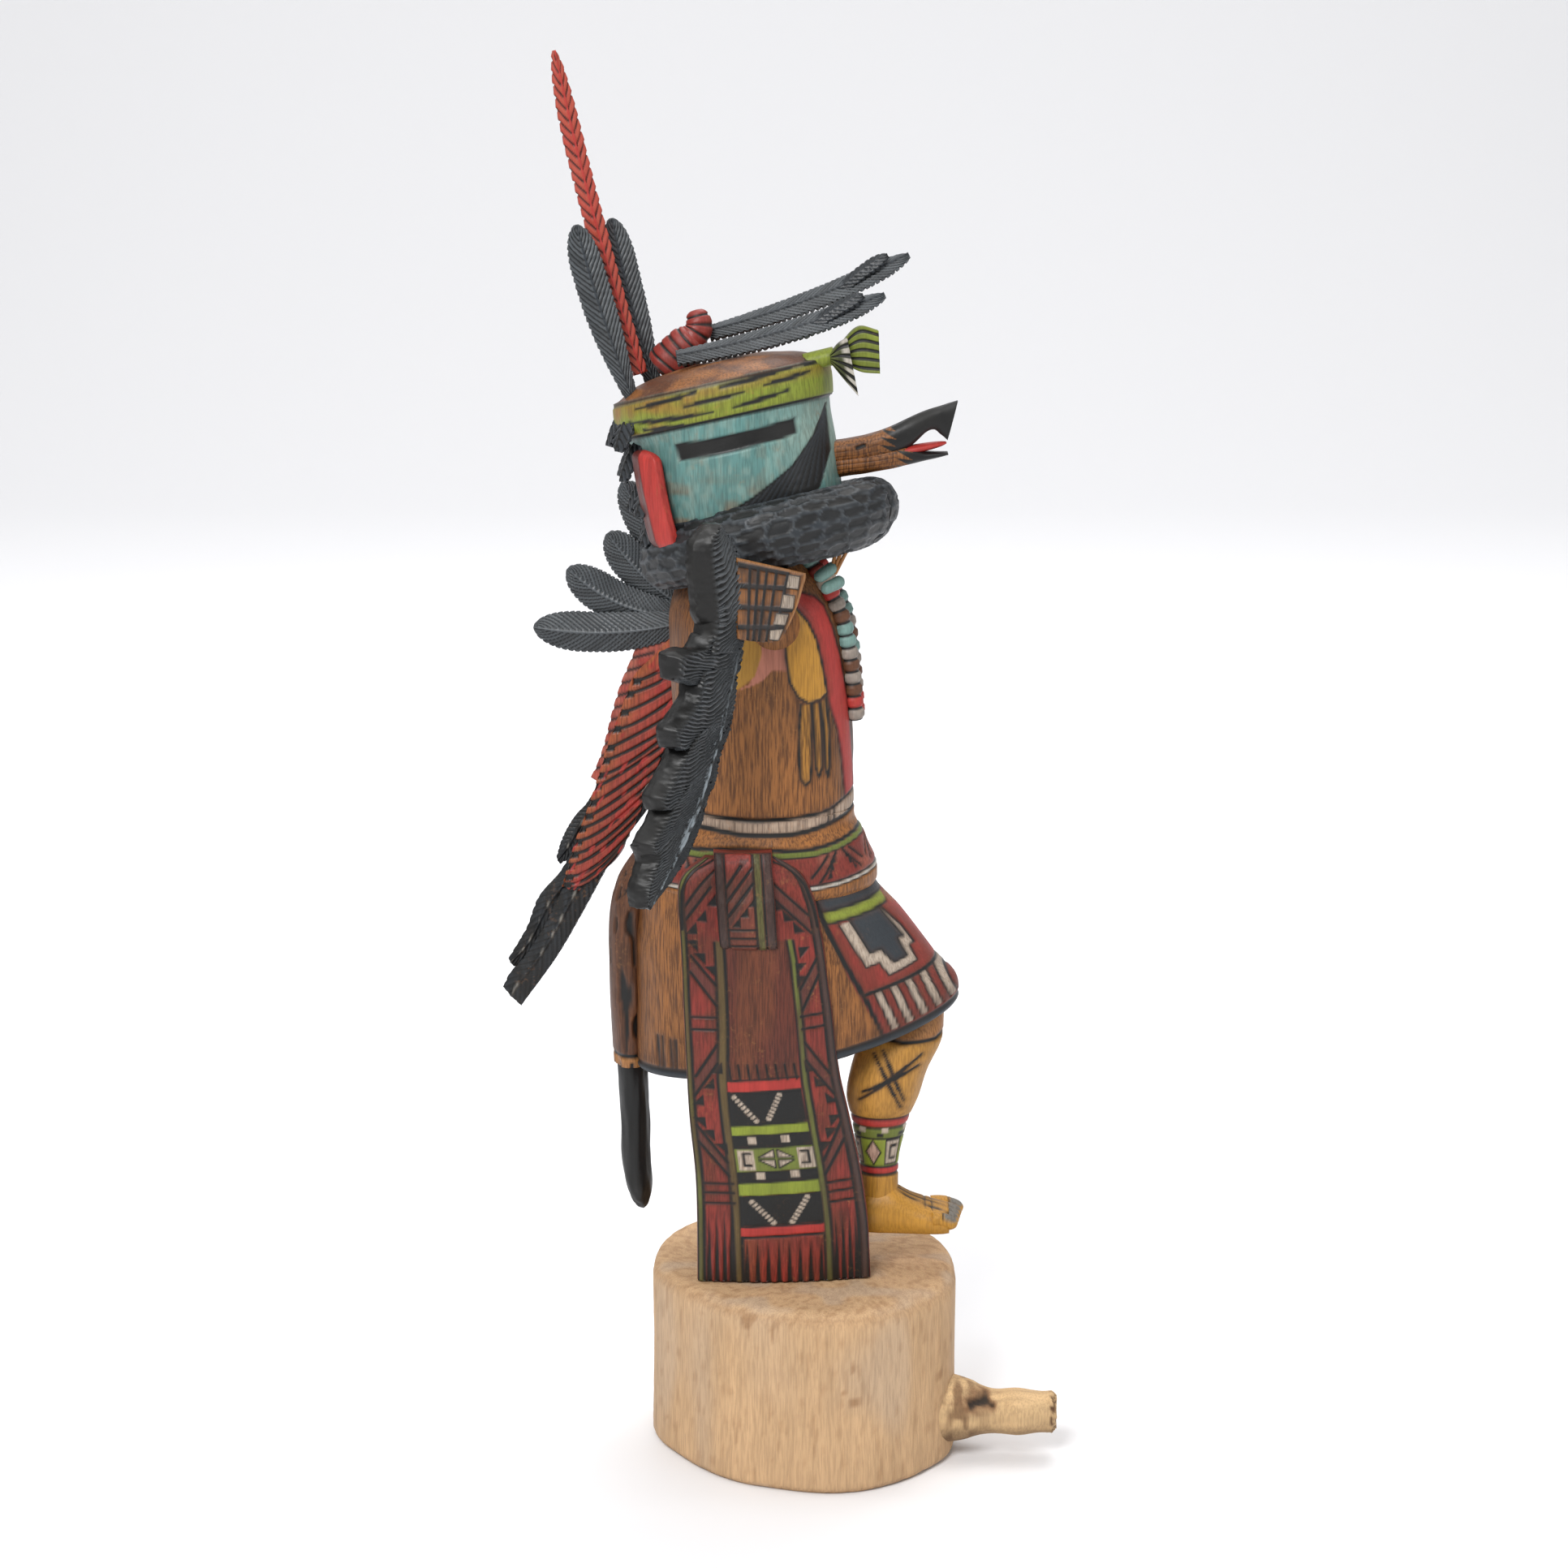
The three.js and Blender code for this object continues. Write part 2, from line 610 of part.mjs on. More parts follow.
// The short black feathers lying down the back of the head.
function makeNape() {
  const lobes = [];
  for (let k = 0; k < 4; k += 1) {
    const up = MASK_HEIGHT - 4 - k * 8;
    for (const turn of [-0.36, 0, 0.36]) {
      const at = headCentre(up);
      const out = maskRadius(Math.max(up, 0)) + 0.2;
      const angle = Math.PI + turn + 0.08 * (k % 2 === 0 ? 1 : -1);
      const away = vec(Math.cos(angle), Math.sin(angle), 0);
      const lean = -HEAD_LEAN_X * out;
      const from = at.clone().add(away.clone().multiplyScalar(out - 2)).add(vec(0, 0, lean + 4));
      const to = at.clone().add(away.clone().multiplyScalar(out + 2.6)).add(vec(0, 0, lean - 6));
      lobes.push(feather(bend(from, from.clone().lerp(to, 0.5).add(away), to), 9, 2.6, away, 0.8, 2));
    }
  }
  return joinAll(lobes);
}

function makeFigure() {
  return joinAll([
    makeKilt(),
    makeBelt(),
    makeTorso(),
    makeRaisedLeg(),
    makeStandingLeg(),
    makeSash(),
    makePelt(),
    ...makeRopes(),
    makeStrap(),
    makeRuff(),
    makeHead(),
    makeKnot(),
    makeNape(),
  ]);
}

function meshOf(solid) {
  const data = solid.getMesh();
  const points = [];
  for (let i = 0; i < data.vertProperties.length; i += 3) {
    points.push(vec(data.vertProperties[i], data.vertProperties[i + 1], data.vertProperties[i + 2]));
  }
  return { points, faces: [...data.triVerts] };
}

// A cut can leave a crumb beside the piece: only the body with the greatest volume is kept.
function largestBody(solid) {
  const { points, faces } = meshOf(solid);
  const owner = points.map((_, i) => i);
  const head = (i) => {
    let at = i;
    while (owner[at] !== at) {
      owner[at] = owner[owner[at]];
      at = owner[at];
    }
    return at;
  };
  for (let f = 0; f < faces.length; f += 3) {
    owner[head(faces[f])] = head(faces[f + 1]);
    owner[head(faces[f + 1])] = head(faces[f + 2]);
  }
  const bodies = new Map();
  for (let f = 0; f < faces.length; f += 3) {
    const key = head(faces[f]);
    bodies.set(key, [...(bodies.get(key) ?? []), faces[f], faces[f + 1], faces[f + 2]]);
  }
  const sorted = [...bodies.values()].sort((a, b) => signedVolume(points, b) - signedVolume(points, a));
  return sorted.length === 1 ? solid : toSolid(points, sorted[0]);
}

// A piece seated on the figure is cut to its surface, with the seat gap between them.
function seatOn(solid, figure, towards) {
  const shift = towards.clone().normalize().multiplyScalar(SEAT_GAP);
  const { points, faces } = meshOf(figure);
  const moved = toSolid(points.map((p) => p.add(shift)), faces);
  return largestBody(solid.subtract(moved).subtract(figure));
}

// Beak

function makeBeak() {
  const start = headCentre(14).x + MASK_BOTTOM_RADIUS + 3.8;
  const axisZ = MASK_BOTTOM_Z + 14;
  const outline = [
    [-0.25, -0.19], [0.08, -0.185], [0.42, -0.06], [0.72, -0.015], [0.95, 0.045], [0.72, 0.07], [0.6, 0.13],
    [0.72, 0.21], [0.82, 0.31], [0.87, 0.285], [0.95, 0.18], [1, 0.4], [1.04, 0.53], [0.99, 0.575],
    [0.72, 0.51], [0.45, 0.345], [0.1, 0.23], [-0.25, 0.21],
  ].map((corner) => corner.map((share) => share * BEAK_LENGTH));
  const slab = board(outline, (x, z) => vec(start + x, BODY_Y - 1, axisZ + z), BEAK_WIDTH + 1, vec(0, 1, 0));
  const along = (share, rise) => vec(start + share * BEAK_LENGTH, BODY_Y - 1, axisZ + rise * BEAK_LENGTH);
  const taper = tube(
    new THREE.LineCurve3(along(-0.3, 0), along(1.12, 0.35)),
    1, 8, (t) => [0.5 * BEAK_WIDTH * mix(1.1, 0.5, t), 0.46 * BEAK_LENGTH],
  );
  return slab.intersect(taper);
}

// Ears

function makeEar(side) {
  const sign = side === 'right' ? -1 : 1;
  const top = headCentre(0.67 * MASK_HEIGHT);
  const low = headCentre(-1);
  const angle = sign * 2.32;
  const place = (centre, out) => centre.clone()
    .add(vec(Math.cos(angle) * out, Math.sin(angle) * out, HEAD_LEAN_X * Math.cos(angle) * out));
  const from = place(top, maskRadius(0.67 * MASK_HEIGHT) + 0.6);
  const to = place(low, maskRadius(0) + 2.6);
  const reach = to.clone().sub(from).setLength(EAR_LENGTH);
  const end = from.clone().add(reach);
  const away = vec(Math.cos(angle), Math.sin(angle), 0);
  const curve = bend(from, from.clone().lerp(end, 0.5).add(away.clone().multiplyScalar(1.2)), end);
  return feather(curve, EAR_WIDTH, EAR_THICKNESS, away, 0.62, 6);
}

// Crown feathers

// A place over the crown: shares of its radius forward and aside, and a height over its rim.
const overCrown = (forward, aside, up) => headCentre(MASK_HEIGHT)
  .add(vec(forward * MASK_TOP_RADIUS, aside * MASK_TOP_RADIUS, up));

function makeTallFeather() {
  const root = overCrown(-0.761, -0.051, 2);
  const tip = root.clone().add(vec(-19.6, 1.5, 75.5).setLength(TALL_FEATHER_LENGTH));
  const middle = root.clone().lerp(tip, 0.5).add(vec(-0.033 * TALL_FEATHER_LENGTH, 0, 0));
  return feather(bend(root, middle, tip), TALL_FEATHER_WIDTH, 3.4, vec(0.3, -1, 0), 0.75, 7);
}

function makeUprightFeather(forward, aside, leanX) {
  const root = overCrown(forward, aside, -3);
  const tip = root.clone().add(vec(leanX, 0, 40).setLength(UPRIGHT_FEATHER_LENGTH));
  const bow = 0.046 * UPRIGHT_FEATHER_LENGTH;
  const middle = root.clone().lerp(tip, 0.5).add(vec(-bow, 0, bow));
  return feather(bend(root, middle, tip), UPRIGHT_FEATHER_WIDTH, 2.6, vec(0.2, -1, 0), 0.4, 6);
}

// A long dark plume that lies forward over the crown and ends in a fork.
function makePlume(root, rise, side) {
  const face = vec(-0.1, -0.72, 0.7);
  const tip = root.clone().add(vec(48, side, rise).setLength(PLUME_LENGTH));
  const middle = root.clone().lerp(tip, 0.55).add(vec(0, 0, -0.065 * PLUME_LENGTH));
  const long = feather(bend(root, middle, tip), PLUME_WIDTH, 3, face, 0.7, 5);
  const forkRoot = root.clone().lerp(middle, 1.1);
  const forkTip = tip.clone().add(vec(-0.1 * PLUME_LENGTH, -1.6, 0.2));
  const forkMiddle = forkRoot.clone().lerp(forkTip, 0.5).add(vec(-0.6, 0, 1.4));
  const fork = feather(bend(forkRoot, forkMiddle, forkTip), PLUME_WIDTH * 0.6, 2.4, face, 0.6, 3);
  return long.add(fork);
}

// The two pleated fans of the band's bow.
function makeBow() {
  const knot = overCrown(1.01, -0.366, 7);
  const outlines = [
    [[0, 0], [0.27, 0.41], [0.52, 0.4], [0.65, 0.08], [0.635, -0.35], [0.43, -0.475]],
    [[0.16, 0.08], [0.745, 0.585], [0.92, 0.445], [1, -0.05], [0.905, -0.3], [0.555, -0.24]],
  ];
  const fans = outlines.map((outline, k) => board(
    outline.map((corner) => corner.map((share) => share * BOW_REACH)),
    (a, b) => vec(knot.x + a, knot.y + 2.4 * k - 0.1 * a, knot.z + b),
    2.6,
    vec(0.1, -1, 0),
  ));
  const tie = tube(
    new THREE.LineCurve3(knot.clone().add(vec(-5.4, 0, -1.5)), knot.clone().add(vec(4, 1, 0.6))),
    1, 8, () => [2.6, 2.2],
  );
  return joinAll([...fans, tie]);
}

// Wings

// The left wing is swept back, beside and behind the body. Its places are shares of its drop,
// back and up from the shoulder, and a distance out from its plane.
const leftWingPlace = (back, up, out = 0) => {
  const x = SHOULDER_X + back * LEFT_WING_DROP;
  return vec(x, BODY_Y + 16 + 0.15 * (-20 - x) + out, SHOULDER_Z + up * LEFT_WING_DROP);
};

function makeLeftWing() {
  const away = vec(0.15, 1, 0);
  const root = TORSO_DEPTH + STUMP_REACH + SEAT_GAP;
  const armOutline = [
    [0.055, 0.028], [0.055, -0.055], [-0.129, -0.166], [-0.203, -0.129], [-0.184, -0.009], [-0.092, 0.046],
  ];
  const covertOutline = [
    [-0.111, 0.009], [-0.147, -0.221], [-0.194, -0.313], [-0.24, -0.424], [-0.276, -0.479],
    [-0.359, -0.618], [-0.465, -0.713], [-0.488, -0.673], [-0.461, -0.571], [-0.424, -0.452],
    [-0.387, -0.359], [-0.346, -0.286], [-0.313, -0.203], [-0.189, -0.074],
  ];
  const liningOutline = [
    [-0.166, -0.074], [-0.24, -0.313], [-0.406, -0.498], [-0.439, -0.47],
    [-0.396, -0.332], [-0.35, -0.221], [-0.313, -0.12], [-0.24, -0.074],
  ];
  const arm = board(
    armOutline,
    (back, up) => leftWingPlace(back, up).setY(BODY_Y + root + 2.2),
    4.4,
    vec(0, 1, 0),
  );
  const covert = board(covertOutline, (back, up) => leftWingPlace(back, up, 4.5), COVERT_THICKNESS, away);
  const lining = board(
    liningOutline,
    (back, up) => leftWingPlace(back, up, 4.5 + COVERT_THICKNESS * 0.8),
    COVERT_THICKNESS,
    away,
  );
  const rows = [
    [-0.24, -0.332, -0.323, -0.571, -0.614, -1, PRIMARY_WIDTH * 0.72, 5.4],
    [-0.276, -0.35, -0.387, -0.608, -0.647, -0.981, PRIMARY_WIDTH * 0.72, 6.2],
    [-0.313, -0.369, -0.442, -0.627, -0.63, -0.885, PRIMARY_WIDTH * 0.7, 7],
    [-0.35, -0.35, -0.442, -0.516, -0.52, -0.651, PRIMARY_WIDTH * 0.6, 8],
    [-0.194, -0.065, -0.369, -0.12, -0.562, -0.092, FAN_WIDTH, 4.6],
    [-0.194, -0.055, -0.35, -0.074, -0.481, 0.046, FAN_WIDTH, 6],
    [-0.194, -0.046, -0.295, 0, -0.387, 0.129, FAN_WIDTH, 7.4],
    [-0.203, -0.018, -0.276, 0.092, -0.35, 0.249, FAN_WIDTH * 0.9, 8.8],
  ];
  const feathers = rows.map(([x0, z0, x1, z1, x2, z2, width, out]) => feather(
    bend(leftWingPlace(x0, z0, out), leftWingPlace(x1, z1, out), leftWingPlace(x2, z2, out)),
    width,
    WING_FEATHER_THICKNESS,
    away,
    0.55,
    4,
  ));
  return joinAll([arm, covert, lining, ...feathers]);
}

// The right wing is held out to the side. Its places are shares of its reach, out along it
// and up across it, and a distance in front of its plane.
const RIGHT_WING_OUT = vec(-0.6, -0.8, 0);
const RIGHT_WING_FACE = vec(0.8, -0.6, 0);
const rightWingRoot = () => vec(
  SHOULDER_X,
  BODY_Y - TORSO_DEPTH - STUMP_REACH - SEAT_GAP - 2.6,
  SHOULDER_Z,
);
const rightWingPlace = (out, up, face = 0) => rightWingRoot()
  .add(RIGHT_WING_OUT.clone().multiplyScalar(out * RIGHT_WING_REACH))
  .add(RIGHT_WING_FACE.clone().multiplyScalar(face))
  .add(vec(0, 0, up * RIGHT_WING_REACH));

function makeRightWing() {
  const panelOutline = [
    [-0.216, 0.265], [-0.157, 0.039], [-0.059, -0.088], [0.275, -0.098],
    [0.353, 0.118], [0.314, 0.304], [0.039, 0.304],
  ];
  const covertOutline = [
    [0.078, 0.157], [0.157, -0.157], [0.373, -0.627], [0.686, -0.941],
    [0.765, -0.863], [0.725, -0.392], [0.627, 0], [0.392, 0.235],
  ];
  const panel = board(panelOutline, (out, up) => rightWingPlace(out, up, 1.4), 3, RIGHT_WING_FACE);
  const covert = board(
    covertOutline,
    (out, up) => rightWingPlace(out, up, -4.4),
    COVERT_THICKNESS,
    RIGHT_WING_FACE,
  );
  const rows = [
    [0.294, -0.098, 0.333, 0.235, 0.392, 0.549, 15.5, 0.4],
    [0.196, 0.02, 0.51, 0.039, 0.784, -0.039, 12.5, -0.2],
    [0.196, -0.02, 0.51, -0.157, 0.824, -0.333, 12, -0.8],
    [0.235, -0.059, 0.529, -0.333, 0.882, -0.608, 11.5, -1.4],
    [0.255, -0.098, 0.51, -0.51, 0.922, -0.804, 11, -2],
    [0.275, -0.137, 0.49, -0.686, 0.971, -0.98, 10.5, -2.6],
    [0.294, -0.176, 0.471, -0.824, 1, -1.118, 9.5, -3.2],
  ];
  const feathers = rows.map(([o0, u0, o1, u1, o2, u2, width, face]) => feather(
    bend(rightWingPlace(o0, u0, face), rightWingPlace(o1, u1, face), rightWingPlace(o2, u2, face)),
    width,
    WING_FEATHER_THICKNESS + 0.8,
    RIGHT_WING_FACE,
    0.6,
    4,
  ));
  const root = rightWingRoot();
  const shoulder = tube(
    new THREE.LineCurve3(vec(root.x, root.y + 2.6, root.z), vec(root.x - 2, root.y - 3, root.z)),
    1, 10, () => [STUMP_RADIUS, STUMP_RADIUS],
  );
  return joinAll([panel, covert, shoulder, ...feathers]);
}

const figure = makeFigure();
const crownUp = vec(-HEAD_LEAN_X, -HEAD_LEAN_Y, 1);
const front = seatOn(makeUprightFeather(-0.84, -0.287, -12.4), figure, crownUp);
const rear = seatOn(makeUprightFeather(-0.62, 0.185, -10), figure, crownUp);
const tall = seatOn(makeTallFeather(), figure, crownUp);
const upper = seatOn(makePlume(overCrown(-0.108, 0.146, CROWN_RISE + 6), 18.5, 2), figure, crownUp);
const lower = seatOn(makePlume(overCrown(-0.403, -0.366, CROWN_RISE + 1.5), 14.4, 1), figure, crownUp);
const bow = seatOn(makeBow(), figure, vec(1, -0.2, 0.3));
const beak = seatOn(makeBeak(), figure, vec(1, 0, 0));
const rightEar = seatOn(makeEar('right'), figure, vec(-0.6, -1, 0));
const leftEar = seatOn(makeEar('left'), figure, vec(-0.6, 1, 0));
const rightWing = seatOn(makeRightWing(), figure, vec(0.4, -1, 0));
const leftWing = seatOn(makeLeftWing(), figure, vec(-0.4, 1, 0));

const group = new THREE.Group();
group.add(
  piece('base_block', makeBase(), 0xc9a877, 0.8, 0),
  piece('carved_figure', figure, 0x8a5a34, 0.7),
  piece('right_wing', rightWing, 0x2b2d30, 0.7),
  piece('left_wing', leftWing, 0x8c2f28, 0.7),
  piece('beak', beak, 0x6b4428, 0.6),
  piece('tall_red_feather', tall, 0xa8452f, 0.7),
  piece('front_black_feather', front, 0x25282c, 0.7),
  piece('rear_black_feather', rear, 0x25282c, 0.7),
  piece('upper_plume', upper, 0x2a2d31, 0.7),
  piece('lower_plume', lower, 0x2a2d31, 0.7),
  piece('band_bow', bow, 0x8fa83a, 0.7),
  piece('right_ear', rightEar, 0xb5342f, 0.6),
  piece('left_ear', leftEar, 0xb5342f, 0.6),
);

export default group;
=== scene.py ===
import math

import bpy
import numpy as np
from bpy.props import FloatProperty, FloatVectorProperty, IntProperty, PointerProperty
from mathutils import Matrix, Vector


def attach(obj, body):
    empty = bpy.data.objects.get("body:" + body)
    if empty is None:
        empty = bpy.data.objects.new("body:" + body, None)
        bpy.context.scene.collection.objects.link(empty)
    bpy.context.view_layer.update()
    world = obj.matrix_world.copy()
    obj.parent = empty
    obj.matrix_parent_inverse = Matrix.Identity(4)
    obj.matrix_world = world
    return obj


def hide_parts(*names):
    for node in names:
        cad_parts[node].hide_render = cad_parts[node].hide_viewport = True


bl_info = {
    "name": "Carved Hawk Dancer",
    "version": (1, 0, 0),
    "blender": (4, 5, 0),
    "location": "View3D > Sidebar > Carved Dancer",
    "description": "Dresses the packed solids of a carved and painted cottonwood dancer",
    "category": "Object",
}

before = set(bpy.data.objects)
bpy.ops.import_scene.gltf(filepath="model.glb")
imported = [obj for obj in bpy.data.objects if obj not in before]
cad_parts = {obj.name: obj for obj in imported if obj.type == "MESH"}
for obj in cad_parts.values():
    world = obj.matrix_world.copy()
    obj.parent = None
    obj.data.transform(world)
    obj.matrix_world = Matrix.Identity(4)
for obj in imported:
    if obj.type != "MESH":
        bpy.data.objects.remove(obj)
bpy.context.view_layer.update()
MM = 0.001
BODY_Y = 4.0


# Numbers and patterns

def linear(code):
    """The linear colour of a six-letter screen colour."""
    screen = [int(code[k:k + 2], 16) / 255 for k in (0, 2, 4)]
    return tuple(c / 12.92 if c < 0.04045 else ((c + 0.055) / 1.055) ** 2.4 for c in screen)


def mix(a, b, t):
    return a + (b - a) * t


def joined(*numbers):
    """Points or pairs from arrays of their numbers, or from one number for all."""
    return np.stack(np.broadcast_arrays(*numbers), axis=-1)


def step(low, high, x):
    """0 below low, 1 above high and an eased slope between."""
    t = np.clip((np.asarray(x, float) - low) / (high - low), 0, 1)
    return t * t * (3 - 2 * t)


def eased(rows, at):
    """Rows of numbers, the first of each its position, eased between at the positions given."""
    rows = np.asarray(rows, float)
    x, y = rows[:, 0], rows[:, 1:]
    at = np.asarray(at, float)
    gaps = np.diff(x)[:, None]
    rise = np.diff(y, axis=0) / gaps
    slope = np.vstack([rise[:1], (rise[:-1] + rise[1:]) / 2, rise[-1:]])
    turn = rise[:-1] * rise[1:] <= 0
    slope[1:-1][turn] = 0
    k = np.clip(np.searchsorted(x, at) - 1, 0, len(x) - 2)
    h = gaps[k]
    t = np.clip((at - x[k])[:, None] / h, 0, 1)
    return ((2 * t**3 - 3 * t**2 + 1) * y[k] + (t**3 - 2 * t**2 + t) * h * slope[k]
            + (3 * t**2 - 2 * t**3) * y[k + 1] + (t**3 - t**2) * h * slope[k + 1])


def through(points, at):
    """A curve through points, at shares of its length from 0 to 1."""
    points = np.asarray(points, float)
    spans = np.linalg.norm(np.diff(points, axis=0), axis=1)
    run = np.concatenate([[0], np.cumsum(spans)])
    return eased(np.column_stack([run / run[-1], points]), at)


def bent(a, b, c, at):
    """A curve from a to c that bends towards b."""
    t = np.asarray(at, float)[:, None]
    return (1 - t)**2 * np.asarray(a, float) + 2 * t * (1 - t) * np.asarray(b, float) + t**2 * np.asarray(c, float)


def lattice(cells, seed):
    """A repeatable number from 0 to 1 for each cell of a lattice."""
    mask = np.uint64(0xFFFFFFFF)
    key = (cells.astype(np.int64) + 100000).astype(np.uint64)
    value = (key[..., 0] * np.uint64(73856093)) ^ (key[..., 1] * np.uint64(19349663))
    value = (value ^ (key[..., 2] * np.uint64(83492791)) ^ np.uint64(seed * 2654435761)) & mask
    value = ((value ^ (value >> np.uint64(15))) * np.uint64(2246822519)) & mask
    value = ((value ^ (value >> np.uint64(13))) * np.uint64(3266489917)) & mask
    return ((value ^ (value >> np.uint64(16))) & mask).astype(float) / 4294967295.0


def noise(points, size, seed=1):
    """Smooth noise from -1 to 1 over points; size is the patch size, one number or three."""
    at = np.asarray(points, float) / np.asarray(size, float)
    low = np.floor(at)
    t = at - low
    t = t * t * (3 - 2 * t)
    total = 0
    for corner in np.ndindex(2, 2, 2):
        share = np.prod(np.where(np.array(corner) == 1, t, 1 - t), axis=-1)
        total = total + share * lattice(low + np.array(corner), seed)
    return 2 * total - 1


def distance_to(flat, line):
    """How far each point of a flat pattern is from a line drawn through points."""
    line = np.asarray(line, float)
    nearest = np.full(flat.shape[:-1], 1e9)
    for a, b in zip(line[:-1], line[1:]):
        run = b - a
        share = np.clip(((flat - a) @ run) / max(run @ run, 1e-9), 0, 1)
        nearest = np.minimum(nearest, np.linalg.norm(flat - a - share[..., None] * run, axis=-1))
    return nearest


def stroke(flat, line, width, soft=0.25):
    """1 on a line drawn through points of a flat pattern, with an edge as soft as given."""
    return np.clip((width / 2 - distance_to(flat, line)) / soft + 0.5, 0, 1)


def inside(flat, outline, soft=0.25):
    """1 within an outline of a flat pattern, with an edge as soft as given."""
    outline = np.asarray(outline, float)
    x, y = flat[..., 0], flat[..., 1]
    within = np.zeros(x.shape, bool)
    for a, b in zip(outline, np.roll(outline, -1, axis=0)):
        crosses = (a[1] > y) != (b[1] > y)
        reach = a[0] + (y - a[1]) * (b[0] - a[0]) / (b[1] - a[1] if b[1] != a[1] else 1e-9)
        within ^= crosses & (x < reach)
    nearest = distance_to(flat, np.vstack([outline, outline[:1]]))
    return np.clip(np.where(within, nearest, -nearest) / soft + 0.5, 0, 1)


def band(x, low, high, soft=0.25):
    """1 between low and high."""
    return np.clip(np.minimum(x - low, high - x) / soft + 0.5, 0, 1)


def comb(x, gap, soft):
    """1 at each whole number of x, falling to 0 towards the middle of the gap."""
    return np.clip((np.abs(x - np.floor(x) - 0.5) - gap) / soft, 0, 1)


def box(x0, z0, x1, z1):
    """The corners of an upright rectangle."""
    return [(x0, z0), (x1, z0), (x1, z1), (x0, z1)]


# Shells

BURNT = linear("4a2915")


class Shell:
    """A grid of points in millimetres, closed round its columns, with its paint, grain and cuts."""

    def __init__(self, points, colour, grain=0.3):
        self.points = np.asarray(points, float)
        shape = self.points.shape[:2]
        self.colour = np.tile(np.asarray(colour, float), shape + (1,))
        self.grain = np.full(shape, float(grain))
        self.cut = np.zeros(shape)
        self.normal = self.outward()
        self.xz = self.points[..., [0, 2]]
        self.near = np.clip(0.5 - 4 * self.normal[..., 1], 0, 1)

    def outward(self):
        """The direction out of the surface at each point."""
        p = self.points
        across = np.roll(p, -1, axis=1) - np.roll(p, 1, axis=1)
        along = np.gradient(p, axis=0)
        normal = np.cross(across, along)
        length = np.linalg.norm(normal, axis=-1, keepdims=True)
        normal = normal / np.maximum(length, 1e-9)
        middle = p.mean(axis=1, keepdims=True)
        if ((p - middle) * normal).sum() < 0:
            normal = -normal
        return normal

    def lay(self, mask, colour=None, grain=None, cut=0.0):
        """Paint where the mask is 1, with the bare grain it lets through and the depth it is cut to."""
        mask = np.broadcast_to(mask, self.grain.shape)
        share = mask[..., None]
        if colour is not None:
            self.colour = mix(self.colour, np.asarray(colour, float), share)
        if grain is not None:
            self.grain = mix(self.grain, grain, mask)
        if cut:
            self.cut = np.maximum(self.cut, cut * mask) if cut > 0 else self.cut + cut * mask
        return self

    def score(self, flat, line, width, ink, depth=0.3, where=1.0):
        """A burnt and incised line with a brown halo."""
        self.lay(0.35 * stroke(flat, line, 2.4 * width, 1.1) * where, BURNT)
        return self.lay(stroke(flat, line, width) * where, ink, grain=0.1, cut=depth)

    def shade(self, amount):
        """Multiply the paint by 1 + amount, a number for each point."""
        self.colour = np.clip(self.colour * (1 + amount[..., None]), 0, 1)
        return self

    def chip(self, depth, size, seed):
        """Uneven knife work over the whole surface."""
        self.cut = self.cut + depth * noise(self.points, size, seed)
        return self

    def faces(self):
        rows, columns = self.points.shape[:2]
        grid = np.arange(rows * columns).reshape(rows, columns)
        right = np.roll(grid, -1, axis=1)
        return joined(grid[:-1], right[:-1], right[1:], grid[1:]).reshape(-1, 4)

    def mesh_data(self):
        """Points, four-sided faces, end fans, colours: the cut is taken out of the surface here."""
        points = (self.points - self.normal * self.cut[..., None]).reshape(-1, 3)
        colours = np.concatenate([self.colour, self.grain[..., None]], axis=-1).reshape(-1, 4)
        rows, columns = self.points.shape[:2]
        quads = self.faces()
        fans = []
        for row in (0, rows - 1):
            ring = row * columns + np.arange(columns)
            tip = len(points)
            points = np.vstack([points, points[ring].mean(axis=0)])
            colours = np.vstack([colours, colours[ring].mean(axis=0)])
            pair = [np.roll(ring, -1), ring] if row == 0 else [ring, np.roll(ring, -1)]
            fans.append(joined(tip, pair[0], pair[1]))
        fans = np.vstack(fans)
        a, b, c = points[quads[:, 0]], points[quads[:, 1]], points[quads[:, 2]]
        d = points[quads[:, 3]]
        volume = (a * np.cross(b, c)).sum() + (a * np.cross(c, d)).sum()
        if volume < 0:
            quads, fans = quads[:, ::-1], fans[:, ::-1]
        return points, quads, fans, colours


def turn_angles(count, pull=0.45, towards=-math.pi / 2):
    """Angles round a ring, closer together on the side they are pulled towards."""
    even = np.arange(count) / count * 2 * math.pi
    return even - pull * np.sin(even - towards)


def skin(rings, steps):
    """Rows of points eased between rings."""
    rings = np.asarray(rings, float)
    count = rings.shape[1]
    spans = np.linalg.norm(np.diff(rings, axis=0), axis=-1).mean(axis=1)
    marks = np.concatenate([[0], np.cumsum(spans)])
    table = np.column_stack([marks / marks[-1], rings.reshape(len(rings), -1)])
    return eased(table, np.linspace(0, 1, steps)).reshape(steps, count, 3)


def oval(cx, cy, cz, rx, ry, angles, slope=(0.0, 0.0)):
    dx, dy = rx * np.cos(angles), ry * np.sin(angles)
    return joined(cx + dx, cy + dy, cz + slope[0] * dx + slope[1] * dy)


